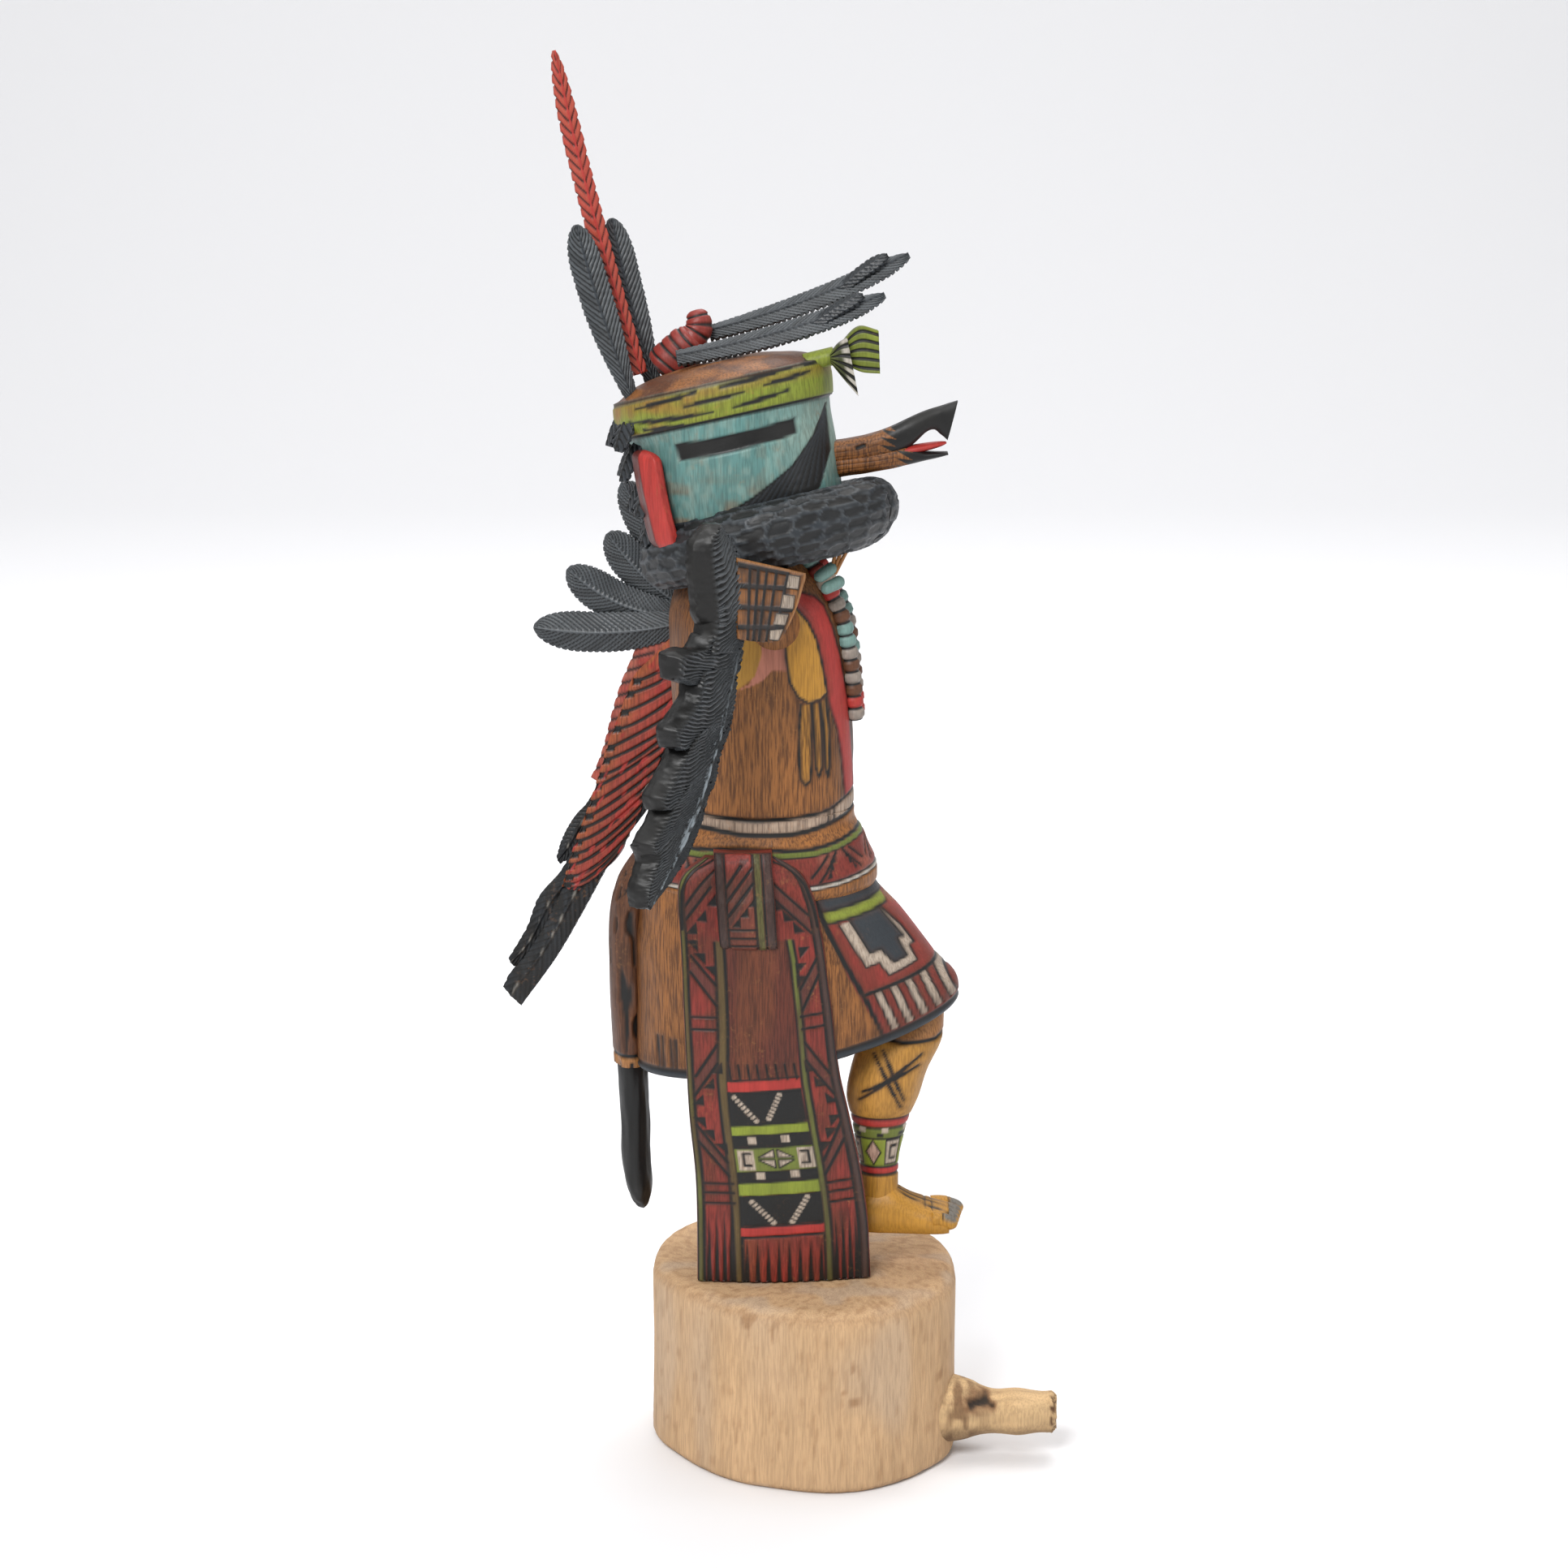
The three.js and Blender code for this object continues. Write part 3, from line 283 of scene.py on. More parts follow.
def rope_of(route, radii, sides, up=(0, 0, 1)):
    """A tube round a route; radii are one pair for each point of the route."""
    route = np.asarray(route, float)
    along = np.gradient(route, axis=0)
    along /= np.linalg.norm(along, axis=1, keepdims=True)
    side = np.cross(along, np.asarray(up, float))
    side /= np.linalg.norm(side, axis=1, keepdims=True)
    top = np.cross(side, along)
    angle = np.arange(sides) / sides * 2 * math.pi
    radii = np.asarray(radii, float)
    out = side[:, None] * (radii[:, :1] * np.cos(angle))[..., None]
    rise = top[:, None] * (radii[:, 1:] * np.sin(angle))[..., None]
    return route[:, None] + out + rise


def rod(start, end, radius, sides, colour, grain=0.8, steps=20):
    """A straight round stick between two places."""
    route = mix(np.asarray(start, float), np.asarray(end, float), np.linspace(0, 1, steps)[:, None])
    return Shell(rope_of(route, np.full((steps, 2), radius), sides), colour, grain=grain)


def loop_section(across, rim):
    """Places round a flat strip: u across it from -1 to 1, and the side, 1 in front and -1 behind."""
    front = np.linspace(-1, 1, across)
    back = np.linspace(1, -1, max(5, across // 4))
    edge = np.linspace(1, -1, rim + 2)[1:-1]
    u = np.concatenate([front, np.full(rim, 1.0), back, np.full(rim, -1.0)])
    side = np.concatenate([np.full(across, 1.0), edge, np.full(len(back), -1.0), -edge])
    return u, side


def strip(left, right, thickness, face, across, rim=3, dome=0.0):
    """A strip between two edge curves, with its front on the side that face points to."""
    left, right = np.asarray(left, float), np.asarray(right, float)
    face = np.broadcast_to(np.asarray(face, float), left.shape)
    thickness = np.broadcast_to(np.asarray(thickness, float), left.shape[:1])
    u, side = loop_section(across, rim)
    share = ((u + 1) / 2)[None, :, None]
    middle = left[:, None] * (1 - share) + right[:, None] * share
    half = thickness[:, None] / 2 * (1 + dome * (1 - u**2))
    return middle + face[:, None] * (half * side)[..., None], u


def join(name, shells, nodes, finish):
    """One object from several shells, riding on the body and standing for its solids."""
    parts = [shell.mesh_data() for shell in shells]
    offset = 0
    quads, fans = [], []
    for points, four, three, _ in parts:
        quads.append(four + offset)
        fans.append(three + offset)
        offset += len(points)
    points = np.vstack([part[0] for part in parts]) * MM
    colours = np.vstack([part[3] for part in parts])
    quads, fans = np.vstack(quads), np.vstack(fans)
    mesh = bpy.data.meshes.new(name)
    mesh.vertices.add(len(points))
    mesh.vertices.foreach_set("co", points.ravel())
    mesh.loops.add(quads.size + fans.size)
    mesh.loops.foreach_set("vertex_index", np.concatenate([quads.ravel(), fans.ravel()]).astype(np.int32))
    mesh.polygons.add(len(quads) + len(fans))
    starts = np.concatenate([np.arange(len(quads)) * 4, quads.size + np.arange(len(fans)) * 3])
    mesh.polygons.foreach_set("loop_start", starts.astype(np.int32))
    mesh.update(calc_edges=True)
    mesh.validate()
    paint = mesh.color_attributes.new("paint", "FLOAT_COLOR", "POINT")
    paint.data.foreach_set("color", np.clip(colours, 0, 1).astype(np.float32).ravel())
    mesh.shade_smooth()
    obj = bpy.data.objects.new(name, mesh)
    bpy.context.scene.collection.objects.link(obj)
    mesh.materials.append(finish)
    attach(obj, "root")
    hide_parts(*nodes)
    return obj


# Materials

def painted_wood(name, roughness=0.48, wear=0.3, grain=0.75, relief=0.35, dust=0.012):
    """Paint on carved wood: grain where it is thin, worn high spots and a little dust."""
    known = bpy.data.materials.get(name)
    if known:
        return known
    material = bpy.data.materials.new(name)
    material.use_nodes = True
    tree = material.node_tree
    nodes, links = tree.nodes, tree.links
    nodes.clear()

    def node(kind, **values):
        made = nodes.new(kind)
        for key, value in values.items():
            setattr(made, key, value)
        return made

    def noise_at(scale, detail, stretch):
        mapping = node("ShaderNodeMapping")
        mapping.inputs["Scale"].default_value = stretch
        links.new(place.outputs["Object"], mapping.inputs["Vector"])
        made = node("ShaderNodeTexNoise")
        made.inputs["Scale"].default_value = scale
        made.inputs["Detail"].default_value = detail
        links.new(mapping.outputs["Vector"], made.inputs["Vector"])
        return made.outputs["Fac"]

    def ranged(value, low, high, to_low, to_high):
        made = node("ShaderNodeMapRange", clamp=True)
        links.new(value, made.inputs["Value"])
        for key, number in zip(("From Min", "From Max", "To Min", "To Max"), (low, high, to_low, to_high)):
            made.inputs[key].default_value = number
        return made.outputs["Result"]

    def times(a, b):
        made = node("ShaderNodeMath", operation="MULTIPLY")
        links.new(a, made.inputs[0])
        if isinstance(b, float):
            made.inputs[1].default_value = b
        else:
            links.new(b, made.inputs[1])
        return made.outputs["Value"]

    def blended(kind, share, a, b):
        made = node("ShaderNodeMix", data_type="RGBA", blend_type=kind)
        links.new(share, made.inputs["Factor"])
        links.new(a, made.inputs["A"])
        if isinstance(b, tuple):
            made.inputs["B"].default_value = b + (1.0,)
        else:
            links.new(b, made.inputs["B"])
        return made.outputs["Result"]

    colours = bpy.context.scene.dancer_paint
    place = node("ShaderNodeTexCoord")
    paint = node("ShaderNodeAttribute", attribute_name="paint")
    streak = noise_at(2300.0, 4.0, (1.0, 1.0, 0.075))
    mottle = noise_at(160.0, 5.0, (1.0, 1.0, 0.6))
    speck = noise_at(900.0, 3.0, (1.0, 1.0, 1.0))

    dark_streak = times(ranged(streak, 0.42, 0.62, 0.0, grain), paint.outputs["Alpha"])
    colour = blended("MULTIPLY", dark_streak, paint.outputs["Color"], tuple(colours.grain_shadow))
    thin = times(ranged(mottle, 0.48, 0.68, 0.0, wear), ranged(paint.outputs["Alpha"], 0.1, 0.5, 0.0, 1.0))
    bare = times(ranged(speck, 0.56, 0.7, 0.0, 1.0), thin)
    colour = blended("MIX", bare, colour, tuple(colours.bare_wood))
    dusty = times(ranged(mottle, 0.35, 0.65, 0.3, 1.0), dust)
    colour = blended("MIX", dusty, colour, tuple(colours.dust))

    shader = node("ShaderNodeBsdfPrincipled")
    links.new(colour, shader.inputs["Base Color"])
    links.new(ranged(mottle, 0.3, 0.7, roughness - 0.08, roughness + 0.12), shader.inputs["Roughness"])
    shader.inputs["Specular IOR Level"].default_value = 0.42
    bump = node("ShaderNodeBump")
    bump.inputs["Strength"].default_value = relief
    bump.inputs["Distance"].default_value = 0.0004
    height = node("ShaderNodeMath", operation="ADD")
    links.new(times(streak, paint.outputs["Alpha"]), height.inputs[0])
    links.new(times(speck, 0.4), height.inputs[1])
    links.new(height.outputs["Value"], bump.inputs["Height"])
    links.new(bump.outputs["Normal"], shader.inputs["Normal"])
    output = node("ShaderNodeOutputMaterial")
    links.new(shader.outputs["BSDF"], output.inputs["Surface"])
    return material


def plain_finish(name, colour, roughness):
    """A matt studio surface with a very slight mottle."""
    material = bpy.data.materials.new(name)
    material.use_nodes = True
    tree = material.node_tree
    shader = tree.nodes["Principled BSDF"]
    shader.inputs["Roughness"].default_value = roughness
    cloud = tree.nodes.new("ShaderNodeTexNoise")
    cloud.inputs["Scale"].default_value = 3.0
    shift = tree.nodes.new("ShaderNodeMix")
    shift.data_type = "RGBA"
    shift.inputs["A"].default_value = tuple(colour) + (1.0,)
    shift.inputs["B"].default_value = tuple(c * 0.97 for c in colour) + (1.0,)
    tree.links.new(cloud.outputs["Fac"], shift.inputs["Factor"])
    tree.links.new(shift.outputs["Result"], shader.inputs["Base Color"])
    return material


# Values a user would change

def colour_value(label, words, code):
    return FloatVectorProperty(
        name=label, description=words, default=linear(code), min=0.0, max=1.0, size=3, subtype="COLOR")


def length_value(label, words, metres, high, low=0.0):
    return FloatProperty(
        name=label, description=words, default=metres, min=low, max=high, subtype="DISTANCE", unit="LENGTH")


def power_value(label, words, watts):
    return FloatProperty(name=label, description=words, default=watts, min=0.0, max=500.0)


class DancerPaint(bpy.types.PropertyGroup):
    """The paints and the woods of the figure."""
    bare_wood: colour_value("Bare wood", "Cottonwood where paint has worn off", "a5713f")
    # This tint colours the dark grain lines and is also laid as painted shade down the sides of the torso and kilt.
    grain_shadow: colour_value("Grain shadow", "Tint of the dark grain lines", "4a2915")
    dust: colour_value("Dust", "Pale dust over the paint", "a59680")
    base_wood: colour_value("Base wood", "Bare root wood of the base block", "c7a37b")
    base_fleck: colour_value("Base flecks", "Brown flecks in the base block", "84582f")
    body_brown: colour_value("Body brown", "Stained wood of the body", "8f5b2c")
    cloth_red: colour_value("Cloth red", "Red of the sash, belt and kilt border", "7a2c22")
    black: colour_value("Black", "Black of the feathers and pattern lines", "0d0e0f")
    slate: colour_value("Slate", "Blue-black of the ruff and the plumes", "292f35")
    turquoise: colour_value("Turquoise", "Turquoise of the mask", "5a8581")
    lime: colour_value("Lime", "Yellow-green of the head band", "7f8b2c")
    olive: colour_value("Olive", "Olive of the sash borders", "55512a")
    green: colour_value("Green", "Green of the sash and kilt bands", "66702c")
    yellow: colour_value("Yellow ochre", "Ochre of the legs, feet and chest patches", "b5822c")
    red: colour_value("Bright red", "Red of the ears, strap and feather", "a8302a")
    orange: colour_value("Orange red", "Lit barbs of the tall feather", "a84634")
    covert_red: colour_value("Wing red", "Red of the far wing's lined part", "a03c2e")
    pink: colour_value("Pink", "Pink marks under the arm", "b0705c")
    white: colour_value("White", "White squares, flecks and outlines", "b5a594")
    pale: colour_value("Pale", "Pale grey-green of the mask's front", "9fb0a3")
    fur: colour_value("Fur brown", "Brown of the hanging pelt", "5a3620")
    # Feather grey is a painted highlight: the light on the black feathers' barbs, ribs and facets and on the ruff's
    # rims.
    vane: colour_value("Feather grey", "Lit grey of the wing feathers", "4f5458")
    ivory: colour_value("Feather edge", "Pale edges of the near wing", "b9b3a8")
    skin_yellow: colour_value("Leg ochre", "Brownish ochre of the legs", "b38136")
    roll: colour_value("Roll brown", "Orange-brown of the rolls at the waist", "97602c")
    sash_wood: colour_value("Sash wood", "Red-brown wood in the middle of the sash", "5e2a1c")
    mauve: colour_value("Mauve brown", "Dark brown-mauve of the sash's right border", "43302b")


class DancerCarving(bpy.types.PropertyGroup):
    """The depths of the carving, in metres."""
    line_depth: length_value("Line depth", "Depth of the incised pattern lines", 0.0003, 0.001)
    barb_depth: length_value("Barb depth", "Depth of the cuts between feather barbs", 0.00055, 0.001)
    scale_depth: length_value("Scale depth", "Depth of the scales cut in the ruff", 0.0006, 0.0015)
    knife_work: length_value("Knife work", "Unevenness left by the knife", 0.00016, 0.001)
    seed: IntProperty(
        name="Seed", description="Start value of every uneven surface", default=7, min=1, max=999)


class DancerStudio(bpy.types.PropertyGroup):
    """The studio round the figure."""
    camera_height: length_value("Camera height", "Height of the camera over the floor", 0.3747, 2.0, 0.05)
    camera_distance: length_value("Camera distance", "Distance in front of the figure's middle", 0.85, 5.0, 0.2)
    camera_side: length_value("Camera side", "Place of the camera along X", -0.00585, 1.0, -1.0)
    camera_pitch: FloatProperty(
        name="Camera pitch", description="How far the camera looks down", default=math.radians(13.5),
        min=-1.5, max=1.5, subtype="ANGLE", unit="ROTATION")
    lens: FloatProperty(
        name="Lens", description="Focal length in millimetres", default=81.46, min=20.0, max=300.0)
    floor_colour: colour_value("Floor", "Colour of the floor", "ececee")
    key_light: power_value("Key light", "Power of the main light in watts", 19.0)
    fill_light: power_value("Fill light", "Power of the fill light in watts", 3.5)
    top_light: power_value("Top light", "Power of the light above the back in watts", 8.0)
    backdrop_light: power_value("Backdrop light", "Power of the light on the backdrop in watts", 34.0)
    room_light: FloatProperty(
        name="Room light", description="Strength of the light from all round", default=0.34, min=0.0, max=5.0)


def tools():
    """The paint and carving values, with depths in millimetres."""
    scene = bpy.context.scene
    carving = scene.dancer_carving
    depths = {key: getattr(carving, key) / MM for key in ("line_depth", "barb_depth", "scale_depth", "knife_work")}
    paints = {key: tuple(getattr(scene.dancer_paint, key)) for key in DancerPaint.__annotations__}
    return paints, depths, carving.seed


# Base

BASE_HEIGHT = 47.0
BASE_RADII = [38, 38.5, 40.5, 40.5, 41.5, 39.5, 37.2, 38.5, 41.6, 40.5]


def base_radius(angles):
    count = len(BASE_RADII)
    at = (angles / (2 * math.pi) * count) % count
    low = np.floor(at).astype(int) % count
    ease = (1 - np.cos((at - np.floor(at)) * math.pi)) / 2
    radii = np.array(BASE_RADII, float)
    return mix(radii[low], radii[(low + 1) % count], ease)


def base_shells():
    paint, _, seed = tools()
    angles = turn_angles(200, 0.4)
    radius = base_radius(angles)
    levels = [(0, 12), (0, 1.5), (0.4, 0.9), (1.5, 0), (23.5, 0.4), (43, 0.3), (45.8, 1.4), (46.7, 2.8),
              (47, 5), (47, 22), (47, 34)]
    rings = [joined((radius - inset) * np.cos(angles), (radius - inset) * np.sin(angles), z)
             for z, inset in levels]
    block = Shell(skin(rings, 84), paint["base_wood"], grain=0.55)
    p = block.points
    side = step(0.2, 0.7, 1 - np.abs(block.normal[..., 2]))
    furrow = noise(p, (1.0, 1.0, 26), seed) + 0.5 * noise(p, (0.5, 0.5, 9), seed + 1)
    block.cut += side * 0.13 * furrow + 0.25 * noise(p, (9, 9, 22), seed + 2) + 0.12 * noise(p, 1.4, seed + 3)
    block.shade(0.1 * furrow * side + 0.07 * noise(p, (7, 7, 16), seed + 4))
    block.lay(0.35 * step(0.1, 0.7, noise(p, (12, 12, 30), seed + 10)) * side, paint["white"])
    block.lay(0.45 * (1 - side) * step(-0.2, 0.7, noise(p, 0.9, seed + 12)), paint["base_fleck"], cut=0.12)
    block.lay(0.4 * (1 - side) * step(0, 0.6, noise(p, (6, 6, 6), seed + 17)), paint["white"])
    stain = noise(p, (2.2, 2.2, 3), seed + 5) + 1.1 * noise(p, (11, 11, 9), seed + 11)
    block.lay(0.55 * step(1.05, 1.45, stain) * side, paint["base_fleck"], cut=0.1)
    block.lay(0.35 * step(0.2, 0.9, noise(p, (0.8, 0.8, 4), seed + 14)) * side, paint["base_fleck"])
    rim = step(0.3, 0.6, 1 - np.abs(block.normal[..., 2])) * step(43, 46, p[..., 2])
    block.lay(0.35 * rim, paint["base_fleck"])
    t = np.linspace(0, 1, 90)
    route = through([(24, -13, 12), (36, -14, 11.8), (48, -15.2, 11.4), (63, -16, 11.5)], t)
    flare = np.exp(-((t / 0.36)**2))
    radii = (mix(5.6, 12.5, flare) + 0.35 * np.sin(t * 19)) * np.where(t > 0.97, 1 - (t - 0.97) / 0.03 * 0.25, 1)
    root = Shell(rope_of(route, joined(radii, radii * 0.98), 60), linear("c7a67a"), grain=0.6)
    p = root.points
    lines = noise(p, (16, 0.9, 0.9), seed + 6)
    root.cut += 0.22 * lines + 0.3 * noise(p, (5, 3, 3), seed + 7)
    root.shade(0.16 * lines + 0.1 * noise(p, (4, 3, 2), seed + 13))
    root.lay(0.75 * (1 - step(38, 48, p[..., 0])) * step(-0.3, 0.3, noise(p, (1.8, 3, 3.5), seed + 15)),
             linear("5f3c20"))
    root.lay(0.55 * (1 - step(5, 11, p[..., 2] + 2 * noise(p, (5, 3, 3), seed + 16))), linear("4a2d1a"))
    away = np.sqrt(((p[..., 0] - 43) / 5.5)**2 + ((p[..., 2] - 15.4) / 2.6)**2) + 0.5 * noise(p, 1.8, seed + 8)
    root.lay(0.75 * (1 - step(0.5, 1.25, away)) * root.near, linear("6b4024"))
    root.lay((1 - step(0.3, 0.62, away)) * root.near, linear("21150e"), cut=0.9)
    end = step(60.6, 62.0, p[..., 0] + 0.8 * noise(p, 1.2, seed + 18))
    root.lay(end * step(-0.3, 0.2, noise(p, 0.9, seed + 9)), linear("5a3a20"), cut=0.6)
    return [block, root]


# Body

TORSO_ROWS = [
    (158, -10.5, 22.03, 18.87), (183, -10.8, 22.03, 18.68), (194, -11.5, 22.03, 19.06),
    (206, -12.3, 21.6, 19.6), (214, -13.1, 20.74, 19.24), (221, -13.9, 17.7, 16.65),
    (228, -13.9, 13.4, 12.2), (237, -13.9, 12.96, 11.47),
]


def on_torso(z, degrees, out=0.0):
    z = np.atleast_1d(np.asarray(z, float))
    degrees = np.broadcast_to(np.asarray(degrees, float), z.shape)
    cx, rx, ry = eased(TORSO_ROWS, z).T
    angle = np.radians(degrees)
    return joined(cx + (rx + out) * np.cos(angle), BODY_Y + (ry + out) * np.sin(angle), z)


def white_band(shell):
    """The whitish band round the waist with its black lines and the brown roll under it."""
    paint, depth, _ = tools()
    x = np.clip(shell.points[..., 0], -40, 16)
    tops = [(-40, 166.5), (-25.2, 165.5), (-12.9, 165), (-2.1, 165.5), (4.9, 166.3), (9.1, 168.3), (16, 172)]
    lows = [(-40, 163), (-25.3, 162.3), (-12.9, 161.4), (-2.1, 161.7), (4.8, 162.9), (9.9, 164.4), (16, 167.5)]
    top, low = (eased(rows, x.ravel()).reshape(x.shape) for rows in (tops, lows))
    level = shell.points[..., 2]
    shell.lay(band(level, low, top), mix(np.array(paint["ivory"]), np.array(paint["bare_wood"]), 0.45), grain=0.7)
    shell.lay(band(level, 158, low), paint["roll"], grain=0.8)
    for edge, thick in ((top, 0.9), (low, 1.2)):
        away = np.abs(level - edge)
        shell.lay(0.35 * (1 - step(0.3, 1.4, away)), BURNT)
        shell.lay(band(away, -1, thick / 2), paint["black"], grain=0.1, cut=depth["line_depth"])
    for x_at in (5.1, 6.5):
        shell.score(shell.xz, [(x_at, 163.3), (x_at + 0.1, 166.6)], 0.45, paint["black"], 0.3, shell.near)


def torso_shell():
    paint, depth, seed = tools()
    z = np.linspace(158, 237, 150)
    cx, rx, ry = eased(TORSO_ROWS, z).T[..., None]
    rings = oval(cx, BODY_Y, z[:, None], rx, ry, turn_angles(200, 0.5))
    trunk = Shell(rings, paint["body_brown"], grain=0.9)
    flat, near, p = trunk.xz, trunk.near, trunk.points
    line, ink = depth["line_depth"], paint["black"]
    trunk.chip(depth["knife_work"], (5, 5, 9), seed)
    trunk.shade(0.16 * noise(p, (1, 1, 8), seed + 1) + 0.14 * noise(p, (6, 6, 12), seed + 2))
    # painted shade: the torso is darker towards the top, under the ruff, and lighter towards the waist
    trunk.shade(0.16 * step(150, 200, 350 - p[..., 2]) - 0.08)
    # painted shade: the torso is darkened down both sides where it turns away, leaving the middle lighter
    trunk.lay(0.45 * step(0.55, 1.0, np.abs(trunk.normal[..., 0])), paint["grain_shadow"])
    trunk.lay(0.3 * step(196, 206, p[..., 2]) * step(-0.3, 0.3, noise(p, (7, 7, 5), seed + 3)), paint["grain_shadow"])

    yellow = [(-18.7, 209.6), (-11.1, 210.5), (-11.3, 205.8), (-12.9, 200.8), (-16.8, 197.6), (-21, 197)]
    pink = [(-11.1, 210.5), (-5.3, 211.3), (-5.1, 202.0), (-8.8, 202.1), (-10.9, 199.8), (-13.9, 198.3),
            (-16.8, 197.4), (-14, 199)]
    trunk.lay(inside(flat, pink) * near, paint["pink"], grain=0.3)
    trunk.lay(inside(flat, yellow) * near, mix(np.array(paint["yellow"]), np.array(paint["olive"]), 0.3), grain=0.3)

    strap_left = [(-4, 217.5), (-2.3, 216.4), (0.0, 213.0), (2.6, 207.5), (4.3, 198.8), (5.6, 192.0), (7.4, 186.2),
                  (8.4, 179.6), (9.2, 171.2), (9.6, 165)]
    strap_right = [(-4, 221.5), (-1.5, 219.9), (1.4, 218.7), (3.6, 216.4), (5.6, 211.6), (7.6, 204.0), (9.4, 193.5),
                   (10.3, 185.3), (11.0, 175.5), (11.4, 165)]
    strap = inside(flat, strap_left + strap_right[::-1], 0.6)
    for edge in (strap_left, strap_right):
        trunk.score(flat, edge, 1.0, ink, line)
    trunk.lay(strap, paint["red"], grain=0.3)
    trunk.cut = mix(trunk.cut, -0.9, strap)

    patch = [(-3.3, 216.9), (-4.9, 214.0), (-5.3, 212.1), (-4.9, 205.3), (-4.1, 199.3), (-2.1, 195.5), (0.2, 193.9),
             (2.8, 194.3), (4.4, 195.6), (3.2, 202.7), (1.8, 208.8), (-0.2, 213.2)]
    trunk.score(flat, patch + patch[:1], 1.4, ink, line, near)
    patched = inside(flat, patch) * near
    trunk.lay(patched, paint["yellow"], grain=0.4)
    trunk.cut = mix(trunk.cut, -0.4, patched)
    fingers = ([(-1.7, 193.3), (-2.1, 187.1), (-2.1, 179.0), (-1.7, 174.9), (-0.5, 173.2), (0.7, 174.3), (1.0, 178.7),
                (1.0, 186.8), (0.8, 193.4)],
               [(1.2, 193.4), (1.6, 186.7), (2.0, 177.6), (2.8, 174.8), (3.6, 177.3), (3.4, 186.4), (2.8, 193.3)],
               [(3.2, 193.2), (4.0, 186.3), (4.4, 177.1), (5.0, 174.6), (5.4, 176.9), (5.4, 186.2), (4.4, 194.2)])
    for finger in fingers:
        trunk.lay(0.6 * inside(flat, finger) * near, paint["yellow"])
        trunk.score(flat, finger, 0.7, ink, line, near)

    white_band(trunk)
    shells = [trunk]
    for side in (-1, 1):
        shells.append(rod((-10, BODY_Y, 212), (-8, BODY_Y + side * 22.5, 214), 6.0, 40, paint["body_brown"]))
    return shells


def neck_shells():
    """The two ropes of beads down the chest and the knot that ties them."""
    paint, _, seed = tools()
    teal = linear("6f8f88")
    grey = linear("8d8278")
    near_row = [teal, paint["cloth_red"], paint["white"], paint["red"], grey, paint["fur"], teal, teal, grey,
                paint["fur"], grey, paint["fur"], paint["red"], grey]
    far_row = [teal, paint["red"], paint["white"], paint["red"], teal, teal, grey, paint["fur"], teal, grey,
               paint["fur"], grey, paint["red"], paint["red"]]
    shells = []
    for palette, high, low in ((near_row, -22, -10), (far_row, 10, 6)):
        t = np.linspace(0, 1, 200)
        stops = on_torso([228, 214, 201, 187.0], np.linspace(high, low, 4), 1.1)
        beads = Shell(rope_of(through(stops, t), np.full((200, 2), 2.3), 16, up=(1, 0, 0)), teal, grain=0.2)
        count = len(palette)
        place = t * count - 1e-6
        which = np.floor(place).astype(int)
        for k, colour in enumerate(palette):
            beads.lay((which == k)[:, None] * 1.0, colour)
        apart = np.abs(place - np.round(place))[:, None]
        beads.lay(1 - step(0.06, 0.14, apart), paint["black"])
        beads.cut += 0.55 * (1 - step(0.0, 0.32, apart))
        beads.chip(0.12, 1.6, seed + 3)
        beads.shade(0.2 * noise(beads.points, 0.9, seed + 4))
        shells.append(beads)
    t = np.linspace(0, 1, 20)
    swell = np.sqrt(np.clip(1 - (2 * t - 1)**4, 0.05, 1))
    for a, b, wide in (((1.5, -10.5, 223.5), (6.8, -9.8, 227.2), 1.9),
                       ((3.2, -10.8, 220.8), (8.6, -8.4, 223.4), 1.8)):
        route = mix(np.array(a), np.array(b), t[:, None])
        lobe = Shell(rope_of(route, joined(wide * swell, 1.5 * swell), 14), teal, grain=0.2)
        lobe.chip(0.2, 1.8, seed + 6)
        shells.append(lobe)
    for k in range(3):
        low, high = (5.4 + 0.5 * k, -10.4, 225), (6.6 + 1.3 * k, -10.2, 230.6)
        shells.append(rod(low, high, 0.5, 6, paint["bare_wood"], grain=0.3))
    return shells


